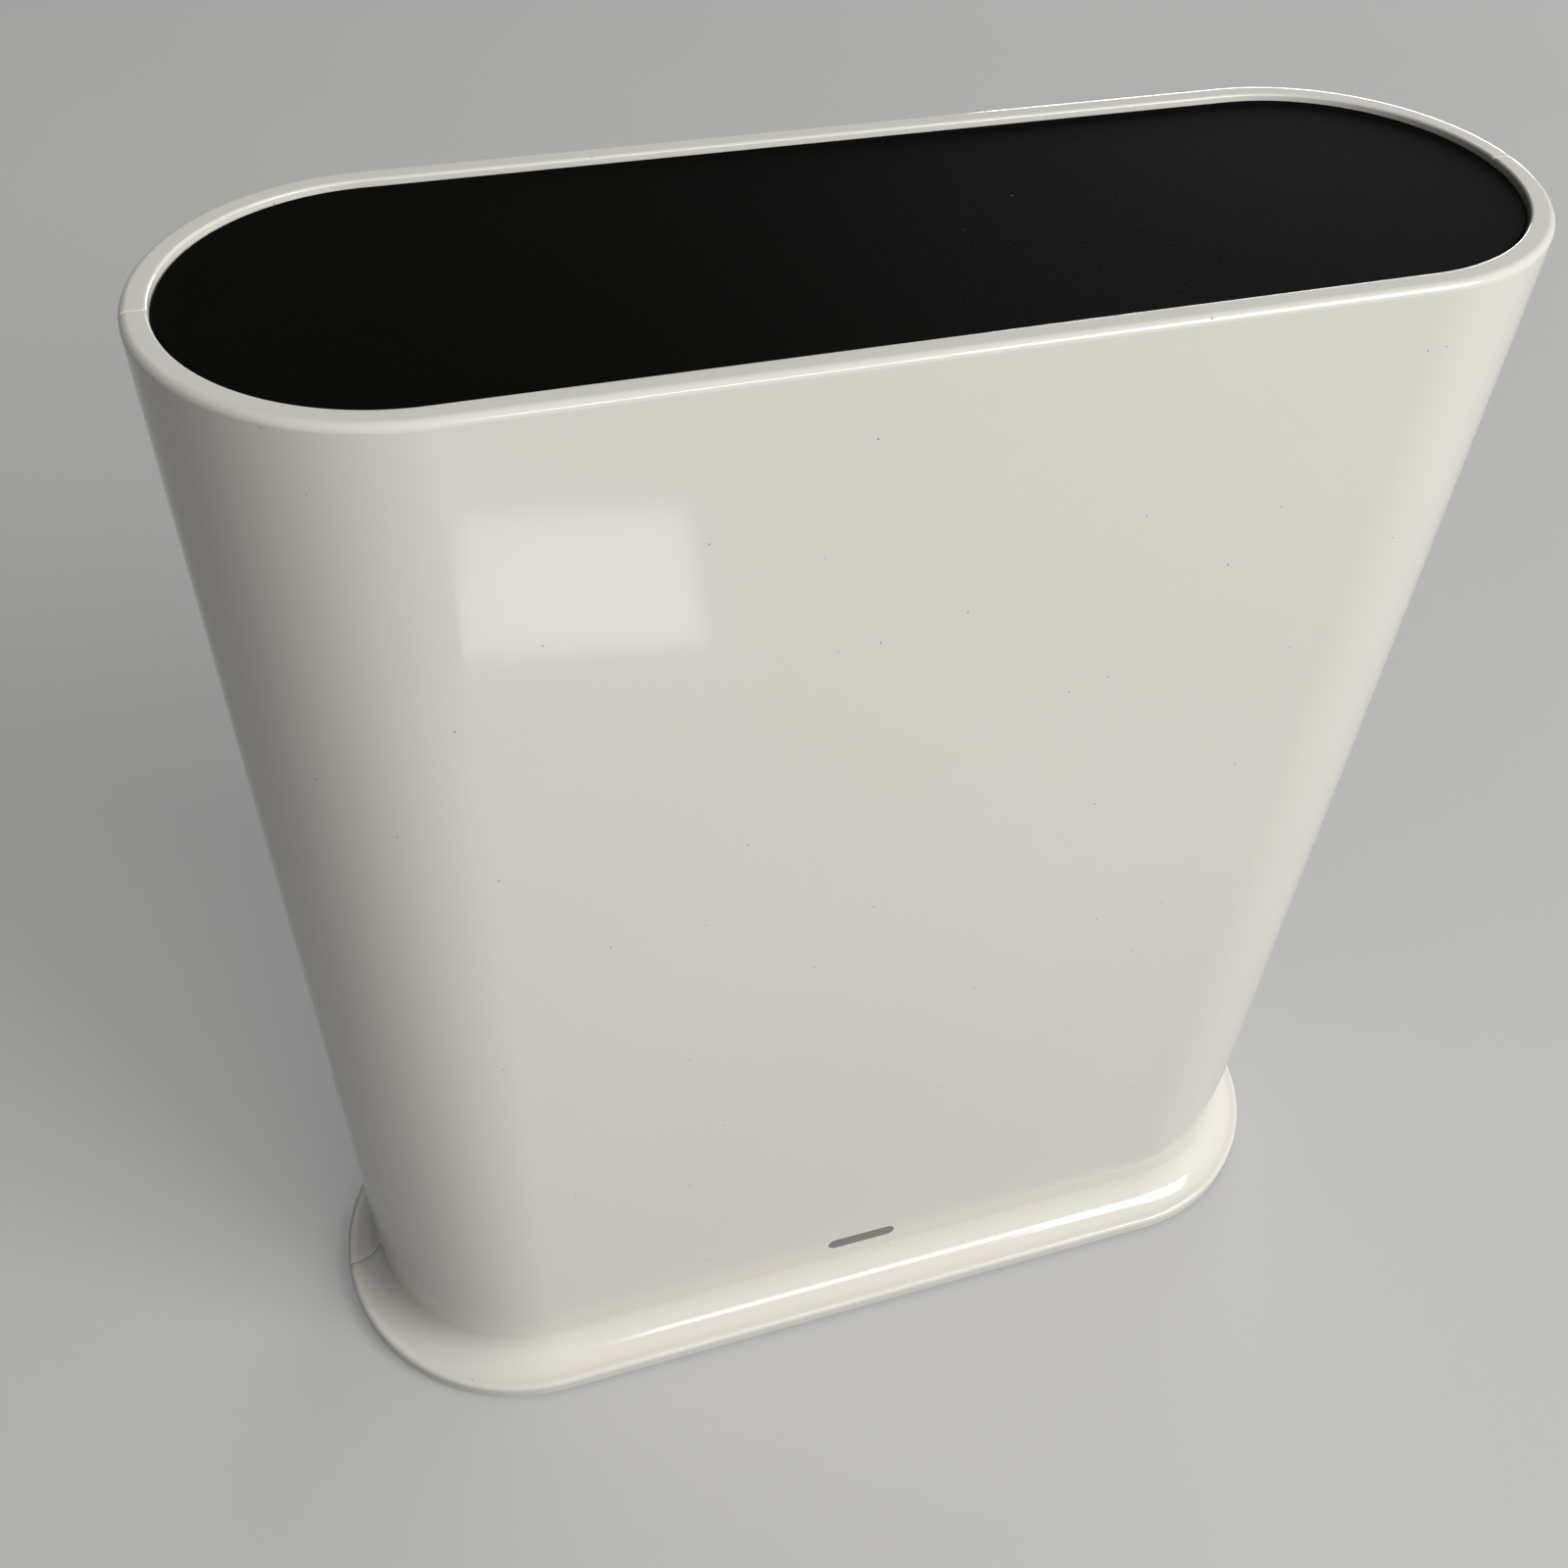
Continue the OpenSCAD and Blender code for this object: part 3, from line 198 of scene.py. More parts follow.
def carve(piece, cutters, operation="DIFFERENCE"):
    """Cuts the cutters out of a piece, or joins them to it, and leaves the piece open for modelling."""
    for cutter in cutters:
        clear()
        bpy.context.view_layer.objects.active = piece
        piece.select_set(True)
        bpy.ops.object.modifier_add(type="BOOLEAN")
        cut = piece.modifiers[-1]
        cut.operation = operation
        cut.solver = "EXACT"
        cut.object = cutter
        bpy.ops.object.modifier_apply(modifier=cut.name)
        bpy.data.objects.remove(cutter)
    bpy.ops.object.mode_set(mode="EDIT")


def join(pieces):
    """Makes one object of several pieces, under the first one's name."""
    clear()
    for piece in pieces:
        piece.select_set(True)
    bpy.context.view_layer.objects.active = pieces[0]
    bpy.ops.object.join()
    return pieces[0]


def arc(r, z, radius, start, end, steps):
    """Points of an arc in the section, in mm and degrees."""
    turns = [math.radians(start + (end - start) * i / steps) for i in range(steps + 1)]
    return [(r + radius * math.cos(t), z + radius * math.sin(t)) for t in turns]


def wall_y(z):
    """Distance of the flat outer wall from the middle, at a height."""
    return NECK_R + TAPER * (z - FLARE_Z) / (RIM_Z - FLARE_Z)


def on_wall(face, x, z, half_w, half_h):
    """Tests whether a point of the front (-1) or rear (1) outer wall lies at an opening there."""
    return lambda p: (abs(p.y * face - wall_y(p.z)) < 0.01 and abs(p.x - x) < half_w + 0.1
                      and abs(p.z - z) < half_h + 0.1)


def half_shell(name, face):
    """One half of the shell, open at the top and below. face is -1 for the front and 1 for the rear."""
    flare_mid = NECK_R + FLARE_R
    inner_r = FLARE_R + WALL
    flare_end = 180 + math.degrees(math.asin((FLARE_Z - FOOT_TOP) / FLARE_R))
    inner_end = 180 + math.degrees(math.asin((FLARE_Z - BASE_TOP) / inner_r))
    seat_r = span("base_cover")[1].y + BASE_GAP
    brace_z = LEDGE_Z - BRACE_H
    land = arc(RIM_IN_R + RIM_IN_ROUND, RIM_Z - RIM_IN_ROUND, RIM_IN_ROUND, 180, 90, 4)
    land += arc(RIM_R - RIM_ROUND, RIM_Z - RIM_ROUND, RIM_ROUND, 90, 0, 8)
    flare = arc(flare_mid, FLARE_Z, FLARE_R, 180, flare_end, 20)
    edge = arc(FOOT_R - FOOT_ROUND, FOOT_TOP - FOOT_ROUND, FOOT_ROUND, 90, 0, 6)
    edge += arc(FOOT_R - FOOT_LOW_ROUND, FOOT_Z + FOOT_LOW_ROUND, FOOT_LOW_ROUND, 0, -90, 2)
    seat = [(seat_r, FOOT_Z), (seat_r, BASE_TOP)] + arc(flare_mid, FLARE_Z, inner_r, inner_end, 180, 8)
    ledge = [(wall_y(brace_z) - WALL, brace_z), (LEDGE_R, LEDGE_Z), (LEDGE_R, PLATE_Z), (RIM_IN_R, PLATE_Z)]
    line = [Vector((SIDE, face * r, z)) for r, z in land + flare + edge + seat + ledge]
    clear()
    bpy.ops.mesh.primitive_plane_add(size=10 * MM, location=line[0] * MM)
    piece = work(name)
    bpy.ops.mesh.merge(type="CENTER")
    for last, point in zip(line, line[1:]):
        push(*(point - last))
    pick("VERT", lambda p: min((p - line[0]).length, (p - line[-1]).length) < 1e-3)
    bpy.ops.mesh.edge_face_add()
    bpy.ops.mesh.select_all(action="SELECT")
    push(-2 * SIDE, 0, 0)
    for end in (-1, 1):
        pick("EDGE", lambda p: abs(p.x - end * SIDE) < 1e-3)
        bpy.ops.mesh.spin(steps=32, angle=math.radians(90) * face * end, center=(end * SIDE * MM, 0, 0),
            axis=(0, 0, 1))
    tidy()
    bpy.ops.mesh.bisect(plane_co=(0, face * SEAM / 2 * MM, 0), plane_no=(0, face, 0), use_fill=True,
        clear_inner=True, threshold=1e-7)
    tidy()
    pick("EDGE", lambda p: abs(p.y - face * SEAM / 2) < 1e-3)
    soften(0.1)
    return piece


def slab(name, w, h, corner, steps, y, z, depth):
    """An upright slab with rounded corners, in mm, from y to y + depth."""
    clear()
    bpy.ops.mesh.primitive_plane_add(size=MM, location=(0, y * MM, z * MM), rotation=(math.pi / 2, 0, 0))
    bpy.context.object.scale = (w, h, 1)
    piece = work(name)
    bpy.ops.mesh.bevel(offset=corner * MM, offset_type="OFFSET", segments=steps, affect="VERTICES")
    bpy.ops.mesh.select_all(action="SELECT")
    push(0, depth, 0)
    return piece


def disc(name, r, at, upright=False, points=48):
    """A filled circle at a place in mm, lying flat or standing upright."""
    clear()
    turn = (math.pi / 2, math.pi / points, 0) if upright else (0, 0, math.pi / points)
    bpy.ops.mesh.primitive_circle_add(vertices=points, radius=r * MM, fill_type="NGON",
        location=Vector(at) * MM, rotation=turn)
    return work(name)


def oblong(name, r, half, at, upright=False, points=48):
    """A disc whose two halves are drawn apart, each by half."""
    piece = disc(name, r, at, upright, points)
    way = Vector(half)
    for side in (-1, 1):
        pick("VERT", lambda p: (p - Vector(at)).dot(way) * side > 0)
        shift(*(side * way))
    bpy.ops.mesh.select_all(action="SELECT")
    return piece


def rod(name, at, r, length, way=(0, 1, 0), points=32):
    """A round rod from a place in mm, to the rear or up."""
    clear()
    bpy.ops.mesh.primitive_cylinder_add(vertices=points, radius=r * MM, depth=length * MM,
        location=(Vector(at) + Vector(way) * length / 2) * MM, rotation=(0 if way[2] else math.pi / 2, 0, 0))
    return work(name)


def post(name, at, r, length, way=(0, 1, 0)):
    """A rod on a wall, with a screw's pilot hole in its near end."""
    piece = rod(name, at, r, length, way)
    pick("FACE", lambda p: abs((p - Vector(at)).dot(Vector(way))) < 1e-3)
    inset(r - PILOT_R)
    push(*(Vector(way) * min(PILOT_DEPTH, length - PILOT_FLOOR)))
    return piece


def base_bosses(face):
    """The two upright bosses of a half's foot, for the screws of the base cover."""
    places = [(end * BASE_SCREW_X, face * BASE_SCREW_Y, BASE_TOP) for end in (-1, 1)]
    return [post("base_boss", place, r=3.4, length=9, way=(0, 0, 1)) for place in places]


def strip(name, end, r, width, height, rear_angle, turn):
    """An upright strip inside an end's wall, from an angle at the rear and round towards the front."""
    clear()
    bpy.ops.mesh.primitive_plane_add(size=MM, location=(end * (SIDE + r) * MM, 0, LIP_Z * MM),
        rotation=(math.pi / 2, 0, 0))
    bpy.context.object.scale = (width, height, 1)
    piece = work(name)
    pick("VERT", lambda p: p.z > LIP_Z)
    shift(end * LIP_LEAN, 0, 0)
    bpy.ops.mesh.select_all(action="SELECT")
    middle = (end * SIDE * MM, 0, 0)
    bpy.ops.transform.rotate(value=-math.radians(rear_angle) * end, orient_axis="Z", center_override=middle)
    bpy.ops.mesh.spin(steps=8, angle=math.radians(turn) * end, center=middle, axis=(0, 0, 1))
    tidy()
    return piece


panel_low, panel_high = span("port_panel")
PORT_Z = (panel_low.z + panel_high.z) / 2
rear = half_shell("rear_half", 1)
window = slab("window_cutter", WINDOW_W, WINDOW_H, corner=WINDOW_ROUND, steps=10, y=CUT_Y, z=PORT_Z,
    depth=CUT_LENGTH)
tidy()
vents = []
for x in VENTS:
    vents.append(oblong("vent_cutter", VENT_R, half=(0, 0, VENT_HALF), at=(x, CUT_Y, VENT_Z), upright=True,
        points=32))
    push(0, CUT_LENGTH, 0)
    tidy()
carve(rear, [window, join(vents)])
pick("EDGE", on_wall(1, 0, PORT_Z, WINDOW_W / 2, WINDOW_H / 2))
soften(0.35, 3)
for x in VENTS:
    pick("EDGE", on_wall(1, x, VENT_Z, VENT_R, VENT_HALF + VENT_R))
    soften(0.25)

board_low, board_high = span("main_board")
post_x = board_high.x - BOARD_HOLE_IN
post_y = board_high.y
post_heights = (board_low.z + BOARD_HOLE_IN, board_high.z - BOARD_HOLE_IN)
frame_z = span("antenna_frame")[0].z + FRAME_HOLE_UP
posts = [post("board_post", (end * post_x, post_y, z), r=3, length=16)
         for end in (-1, 1) for z in post_heights]
posts += [post("frame_post", (end * FRAME_HOLE_X, post_y, frame_z), r=3, length=16.6) for end in (-1, 1)]
posts += [post("panel_boss", (end * PANEL_SCREW_X, PANEL_SCREW_Y, PORT_Z), r=2.6, length=4.8)
          for end in (-1, 1)]
posts += base_bosses(1)

# A lip inside each end bridges the seam behind the front half, on a root in the rear half's wall.
for end in (-1, 1):
    posts.append(strip("seam_lip", end, r=21.07, width=1.2, height=151.9, rear_angle=8, turn=16))
    posts.append(strip("lip_root", end, r=21.97, width=1.8, height=149.9, rear_angle=6, turn=4))
carve(rear, posts, "UNION")
tidy()


class Shade:
    """A value in a finish. Sums on it add Math nodes, and node() puts any other node beside it."""

    def __init__(self, tree, output):
        self.tree = tree
        self.output = output

    def node(self, kind, settings={}, sockets={}, out=0):
        """Adds a node with settings and sockets, each a value or a Shade, and gives one of its outputs."""
        made = self.tree.nodes.new("ShaderNode" + kind)
        for key, value in settings.items():
            setattr(made, key, value)
        for key, value in sockets.items():
            if isinstance(value, Shade):
                self.tree.links.new(value.output, made.inputs[key])
            else:
                made.inputs[key].default_value = value
        return Shade(self.tree, made.outputs[out])

    def math(self, operation, first, second):
        return self.node("Math", {"operation": operation}, {0: first, 1: second})

    def __add__(self, other):
        return self.math("ADD", self, other)

    def __radd__(self, other):
        return self.math("ADD", other, self)

    def __sub__(self, other):
        return self.math("SUBTRACT", self, other)

    def __rsub__(self, other):
        return self.math("SUBTRACT", other, self)

    def __mul__(self, other):
        return self.math("MULTIPLY", self, other)

    def __rmul__(self, other):
        return self.math("MULTIPLY", other, self)

    def __gt__(self, other):
        return self.math("GREATER_THAN", self, other)

    def __lt__(self, other):
        return self.math("LESS_THAN", self, other)

    def noise(self, scale, detail=2.0, stretch=(1, 1, 1)):
        """Soft noise over a place, with features of 1 / scale metres."""
        place = self.node("Mapping", {}, {"Vector": self, "Scale": stretch})
        return self.node("TexNoise", {}, {"Vector": place, "Scale": scale, "Detail": detail})

    def specks(self, scale, radius, share, stretch=(1, 1, 1)):
        """1 in scattered grains and 0 elsewhere. A share of the cells, of 1 / scale metres, hold one."""
        place = self.node("Mapping", {}, {"Vector": self, "Scale": stretch})
        near_grain = self.node("TexVoronoi", {}, {"Vector": place, "Scale": scale}, out=0)
        lot = self.node("TexVoronoi", {}, {"Vector": place, "Scale": scale}, out=1)
        chance = self.node("SeparateColor", {}, {0: lot}, out=0)
        return (near_grain < radius * scale) * (chance < share)

    def blend(self, first, second):
        """The first colour where this is 0 and the second where it is 1."""
        return self.node("Mix", {"data_type": "RGBA"}, {0: self, 6: first, 7: second}, out=2)


def new_finish(name, **fixed):
    """A new material with its fixed sockets set: its shader, and the place on the piece in metres."""
    material = bpy.data.materials.new(name)
    material.use_nodes = True
    shader = material.node_tree.nodes["Principled BSDF"]
    for socket, value in fixed.items():
        shader.inputs[socket.replace("_", " ")].default_value = value
    place = Shade(material.node_tree, material.node_tree.nodes.new("ShaderNodeTexCoord").outputs["Object"])
    return material, shader, place


def feed(shader, **sockets):
    """Links what changes over the surface to the shader."""
    for socket, shade in sockets.items():
        shade.tree.links.new(shade.output, shader.inputs[socket.replace("_", " ")])


def dents(height, strength, depth):
    """A height over the surface, in metres, as its normal."""
    return height.node("Bump", {}, {"Height": height, "Strength": strength, "Distance": depth})


def fit(piece, material, node, body="station", angle=32):
    """Smooths a finished piece, gives it its finish and puts it in the place of its node."""
    clear()
    bpy.context.view_layer.objects.active = piece
    piece.select_set(True)
    bpy.ops.object.shade_smooth_by_angle(angle=math.radians(angle))
    bpy.ops.object.modifier_add(type="WEIGHTED_NORMAL")
    piece.modifiers[-1].keep_sharp = True
    bpy.ops.object.modifier_apply(modifier=piece.modifiers[-1].name)
    piece.data.materials.clear()
    piece.data.materials.append(material)
    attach(piece, body)
    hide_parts(node)


white_gloss, shader, place = new_finish("white_gloss", IOR=1.5)
handling = place.noise(60, 4, (1, 1, 0.35))
dust = place.specks(420, 0.00013, 0.14)
skin = place.noise(22, 3).blend((0.795, 0.772, 0.728, 1), (0.825, 0.803, 0.762, 1))
feed(shader, Base_Color=dust.blend(skin, (0.34, 0.32, 0.29, 1)),
     Roughness=0.06 + handling * 0.06 + dust * 0.4,
     Normal=dents(place.noise(330, 1), 0.03, 0.0002))
fit(rear, white_gloss, "rear_shell")

# Main board: glass epoxy under green lacquer, with its tracks etched in copper below the lacquer.
# It stands upright on four of the rear half's posts, and a screw holds it to each.


def dress(material, *nodes):
    """Gives the solids whose shape is right as it is their finish."""
    for name in nodes:
        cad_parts[name].material_slots[0].material = material


def bricks(place, pattern, **sizes):
    """The joints of a brick pattern on an upright board: 1 in the joints and 0 between them."""
    flat = place.node("Mapping", {}, {"Vector": place, "Rotation": (math.pi / 2, 0, 0)})
    sockets = {key.replace("_", " "): value for key, value in sizes.items()}
    return place.node("TexBrick", pattern, {"Vector": flat, **sockets}, out=1)


green_lacquer, shader, place = new_finish("green_lacquer", Coat_Weight=0.4, Coat_Roughness=0.12)
tracks = bricks(place, {"offset": 0.37, "offset_frequency": 3}, Scale=150, Mortar_Size=0.05, Brick_Width=1.7,
    Row_Height=0.21)
buried = tracks * (place.noise(40) > 0.5)
feed(shader, Base_Color=buried.blend((0.018, 0.12, 0.045, 1), (0.035, 0.2, 0.075, 1)),
     Roughness=0.3 + place.noise(700) * 0.12,
     Normal=dents(buried, 0.3, 0.0001))
dress(green_lacquer, "main_board")

# Chips, network transformer, switches and the light's shroud: black epoxy and nylon with a fine grain.
# All but the shroud are soldered to the board, and the shroud is pressed on two pins of the front half.


def grained(name, dark, light, patch, grain, rough, spread, detail=2.0, bump=0.0, depth=0.0, **fixed):
    """Soft patches of two colours. The grain moves the roughness and, with a bump, the surface too."""
    material, shader, place = new_finish(name, **fixed)
    fine = place.noise(grain, detail)
    feed(shader, Base_Color=place.noise(patch).blend((*dark, 1), (*light, 1)),
         Roughness=rough + fine * spread)
    if bump:
        feed(shader, Normal=dents(fine, bump, depth))
    return material


epoxy_black = grained("epoxy_black", (0.011, 0.011, 0.012), (0.019, 0.019, 0.02), patch=300, grain=5200,
    rough=0.42, spread=0.2, bump=0.25, depth=0.00006)
dress(epoxy_black, "processor", "memory_chips", "network_transformer", "sync_switch", "reset_switch",
    "light_shroud")

# Thermal pads: soft sheets of filled silicone in grey blue, cut to the size of the chips.
# They are squeezed between the chips and the heat sink and carry the heat across.
soft_pad = grained("soft_pad", (0.28, 0.33, 0.4), (0.36, 0.41, 0.48), patch=900, grain=1500, rough=0.7,
    spread=0.2)
dress(soft_pad, "thermal_pads")

# Heat sink: an aluminium extrusion with upright fins, left bare, with the fine lines of the die along it.
# Four screws from behind the board go into its legs and draw it down on the pads.
extruded_metal, shader, place = new_finish("extruded_metal", Metallic=1.0)
drawn = place.noise(2500, 3, (1, 1, 0.02))
feed(shader, Base_Color=drawn.blend((0.6, 0.61, 0.62, 1), (0.74, 0.75, 0.76, 1)),
     Roughness=0.26 + drawn * 0.2)
dress(extruded_metal, "heat_sink")

# Inner screws and radio cans: plated steel, a little rubbed and dull.
# The screws cut their own threads in plain bores, and the folded cans are soldered over the radio circuits.
plated_steel = grained("plated_steel", (0.55, 0.55, 0.55), (0.66, 0.655, 0.645), patch=400, grain=1800,
    rough=0.2, spread=0.2, detail=3.0, bump=0.08, depth=0.00004, Metallic=1.0)
dress(plated_steel, "board_screws", "sink_screws", "frame_screws", "panel_screws", "radio_shields")

# Power parts: two capacitors in shrunk sleeves and a coil in a block, all a dark blue.
# They are soldered to the rear of the board, above the power jack.
sleeved = grained("sleeved_cans", (0.03, 0.034, 0.055), (0.05, 0.055, 0.08), patch=350, grain=1200,
    rough=0.3, spread=0.15)
dress(sleeved, "power_parts")

# Lamp: a small light-emitting diode, cast in clear resin that has yellowed a little.
# It is soldered to the board behind the end of the status light's bar.
clear_resin = grained("clear_resin", (0.78, 0.75, 0.62), (0.88, 0.86, 0.78), patch=2000, grain=3000,
    rough=0.15, spread=0.1)
dress(clear_resin, "status_led")

# Sockets, plugs and contacts: brass and spring bronze with a thin flash of gold.
# The sockets are soldered to the board, and the plugs of the antenna leads are pressed on them.
gilt = grained("gilt", (0.72, 0.52, 0.2), (0.85, 0.64, 0.28), patch=2500, grain=4000, rough=0.22, spread=0.15,
    Metallic=1.0)
dress(gilt, "board_sockets", "cable_plugs", "ethernet_contacts", "usb_contacts")

# Antenna frame: a dark moulded bracket above the board, with a slightly pitted skin.
# Two screws hold it to posts of the rear half, and its pegs carry the antennas.
dark_moulding = grained("dark_moulding", (0.035, 0.036, 0.04), (0.05, 0.051, 0.055), patch=120, grain=2600,
    rough=0.5, spread=0.15, detail=3.0, bump=0.3, depth=0.0001)
dress(dark_moulding, "antenna_frame")

# Antennas: strips of bare amber laminate with copper etched in a brick of narrow lines.
# They are pressed on the frame's pegs, one at each side and one at the top between them.
laminate, shader, place = new_finish("laminate")
copper = bricks(place, {"offset": 0.5}, Scale=250, Mortar_Size=0.09, Brick_Width=1.6, Row_Height=0.5)
feed(shader, Base_Color=copper.blend((0.42, 0.23, 0.055, 1), (0.6, 0.27, 0.1, 1)),
     Roughness=0.45 - copper * 0.15 + place.noise(1500) * 0.1,
     Metallic=copper * 0.8)
dress(laminate, "left_antenna", "right_antenna", "top_antenna")

# Antenna leads: thin coaxial leads in a smooth black jacket.
# Each runs from its plug on the board to its antenna, where it is soldered.
black_jacket = grained("black_jacket", (0.01, 0.01, 0.011), (0.018, 0.018, 0.02), patch=900, grain=2500,
    rough=0.4, spread=0.15)
dress(black_jacket, "left_antenna_cable", "right_antenna_cable", "top_antenna_cable")

# Network jack: a folded can of plated steel round a black moulding, with eight gilt wires in its socket.
# The can's mouth is turned in round the socket, whose step below takes the plug's latch.
CAN_WALL = 0.35
MOUTH_W = 12.5
MOUTH_H = 12.0
PLUG_W = 11.9
PLUG_H = 7.0
PLUG_UP = 0.9                                 # the socket's middle above the can's
PLUG_DEPTH = 12.1
LATCH_W = 6.4
LATCH_H = 3.6
LATCH_DOWN = 2.6
LATCH_DEPTH = 8.1
OUT = 1.4                                     # cutters run out past the face by this


def block(name, x, y, z, w, d, h):
    """A box in mm, from y to y + d."""
    clear()
    bpy.ops.mesh.primitive_cube_add(size=1, location=(x * MM, (y + d / 2) * MM, z * MM))
    bpy.context.object.scale = (w * MM, d * MM, h * MM)
    return work(name)


def near(y):
    """Tests whether a point lies at a depth."""
    return lambda p: abs(p.y - y) < 0.005


low, high = span("ethernet_shield")
NET_X = (low.x + high.x) / 2
BACK_Y = low.y
FACE_Y = high.y
JACK_DEPTH = FACE_Y - BACK_Y
CAN_W = high.x - low.x
CAN_H = high.z - low.z
can = block("network_can", NET_X, BACK_Y, PORT_Z, CAN_W, JACK_DEPTH, CAN_H)
pick("EDGE", lambda p: True, (0, 1, 0))
soften(0.5, 3)
carve(can, [block("can_cutter", NET_X, BACK_Y - 1, PORT_Z, CAN_W - 2 * CAN_WALL, JACK_DEPTH + 1 - CAN_WALL,
                  CAN_H - 2 * CAN_WALL),
            block("mouth_cutter", NET_X, BACK_Y, PORT_Z, MOUTH_W, JACK_DEPTH + 1, MOUTH_H)])
pick("EDGE", near(FACE_Y))
soften(0.12)
fit(can, plated_steel, "ethernet_shield")

low, high = span("ethernet_insert")
SOCKET_Y = high.y
socket = block("network_socket", NET_X, low.y, PORT_Z, high.x - low.x, SOCKET_Y - low.y, high.z - low.z)
plug = block("plug_cutter", NET_X, SOCKET_Y - PLUG_DEPTH, PORT_Z + PLUG_UP, PLUG_W, PLUG_DEPTH + OUT, PLUG_H)
latch = block("latch_cutter", NET_X, SOCKET_Y - LATCH_DEPTH, PORT_Z - LATCH_DOWN, LATCH_W,
    LATCH_DEPTH + OUT, LATCH_H)
carve(socket, [plug, latch])
pick("EDGE", lambda p: near(SOCKET_Y)(p) and abs(p.x - NET_X) < PLUG_W / 2 + 0.05 and abs(p.z - PORT_Z) < 5)
soften(0.3)
fit(socket, epoxy_black, "ethernet_insert")

# Storage jack: a drawn steel shell with rounded corners round a pale moulded tongue with four flat contacts.
# It is soldered to the board, and its mouth stands just behind the panel's face.
TIN = 0.3
low, high = span("usb_shell")
USB_X = (low.x + high.x) / 2
USB_W = high.x - low.x
USB_H = high.z - low.z
shell = block("storage_shell", USB_X, BACK_Y, PORT_Z, USB_W, JACK_DEPTH, USB_H)
pick("EDGE", lambda p: True, (0, 1, 0))
soften(0.8, 4)
hollow = block("storage_cutter", USB_X, BACK_Y - 1, PORT_Z, USB_W - 2 * TIN, JACK_DEPTH + 2, USB_H - 2 * TIN)
pick("EDGE", lambda p: True, (0, 1, 0))
soften(0.5, 4)
carve(shell, [hollow])
pick("EDGE", near(FACE_Y))
soften(0.1)
fit(shell, plated_steel, "usb_shell")

pale_resin = grained("pale_resin", (0.76, 0.75, 0.7), (0.82, 0.81, 0.77), patch=400, grain=2000, rough=0.4,
    spread=0.15)
dress(pale_resin, "usb_tongue", "sync_plunger", "reset_plunger")

# Power jack: a round black moulding with a bore for the barrel plug, and a bright steel pin in the bore.
# It is soldered to the board, and the pin stands on the floor of the bore.
BORE_R = 2.75
BORE_DEPTH = 10.0
low, high = span("power_jack")
POWER_X = (low.x + high.x) / 2
BARREL_R = (high.x - low.x) / 2


def ring(x, y, r):
    """Tests whether a point at a depth lies at a distance from the axis of a round piece."""
    return lambda p: near(y)(p) and abs(math.hypot(p.x - x, p.z - PORT_Z) - r) < 0.02


barrel = rod("power_barrel", (POWER_X, BACK_Y, PORT_Z), BARREL_R, JACK_DEPTH, points=64)
pick("FACE", near(FACE_Y))
inset(BARREL_R - BORE_R)
push(0, -BORE_DEPTH, 0)
pick("EDGE", ring(POWER_X, FACE_Y, BORE_R))
soften(0.4, 3)
pick("EDGE", ring(POWER_X, FACE_Y, BARREL_R))
soften(0.3)
fit(barrel, epoxy_black, "power_jack")

low, high = span("power_jack_pin")
pin = rod("power_pin", (POWER_X, low.y, PORT_Z), (high.x - low.x) / 2, high.y - low.y)
pick("EDGE", near(high.y))
soften(0.5, 4)
fit(pin, plated_steel, "power_jack_pin")

# Push buttons: a dished round cap with a flange behind the panel, and a headed key behind a pin hole.
# Both are moulded in satin white, slide in guides of the panel and press on switches through rods.
CAP_R = 4.5
CAP_DEPTH = 3.5
DISH = 0.25
DISH_R = 0.9 * CAP_R
DISH_RINGS = (DISH_R, 3.3, 2.4, 1.4, 0.5)     # radii of the rings that shape the dish
RING_STEP = 0.01                              # the short slope between the cap and its flange
BUTTON_FLANGE_R = 5.4
BUTTON_FLANGE_T = 1.5
STEM_R = 1.7
low, high = span("sync_button")
SYNC_X = (low.x + high.x) / 2
CAP_Y = high.y
cap_back = CAP_Y - CAP_DEPTH
cap = rod("sync_cap", (SYNC_X, cap_back, PORT_Z), CAP_R, CAP_DEPTH, points=64)
pick("FACE", near(CAP_Y))
last_r = CAP_R
last_fall = 0
for r in DISH_RINGS:
    fall = DISH * (1 - (r / DISH_R) ** 2)
    inset(last_r - r)
    shift(0, last_fall - fall, 0)
    last_r = r
    last_fall = fall
pick("EDGE", ring(SYNC_X, CAP_Y, CAP_R))
soften(0.3, 3)
pick("FACE", near(cap_back), (0, 1, 0))
push(0, -RING_STEP, 0)
grow = BUTTON_FLANGE_R / CAP_R
bpy.ops.transform.resize(value=(grow, 1, grow), center_override=(SYNC_X * MM, cap_back * MM, PORT_Z * MM))
push(0, RING_STEP - BUTTON_FLANGE_T, 0)
inset(BUTTON_FLANGE_R - STEM_R)
push(0, low.y - cap_back + BUTTON_FLANGE_T, 0)
tidy()
white_satin = grained("white_satin", (0.77, 0.755, 0.715), (0.81, 0.795, 0.76), patch=200, grain=3000,
    rough=0.3, spread=0.12, bump=0.1, depth=0.00005)
fit(cap, white_satin, "sync_button", "sync_push")
dress(white_satin, "reset_key")

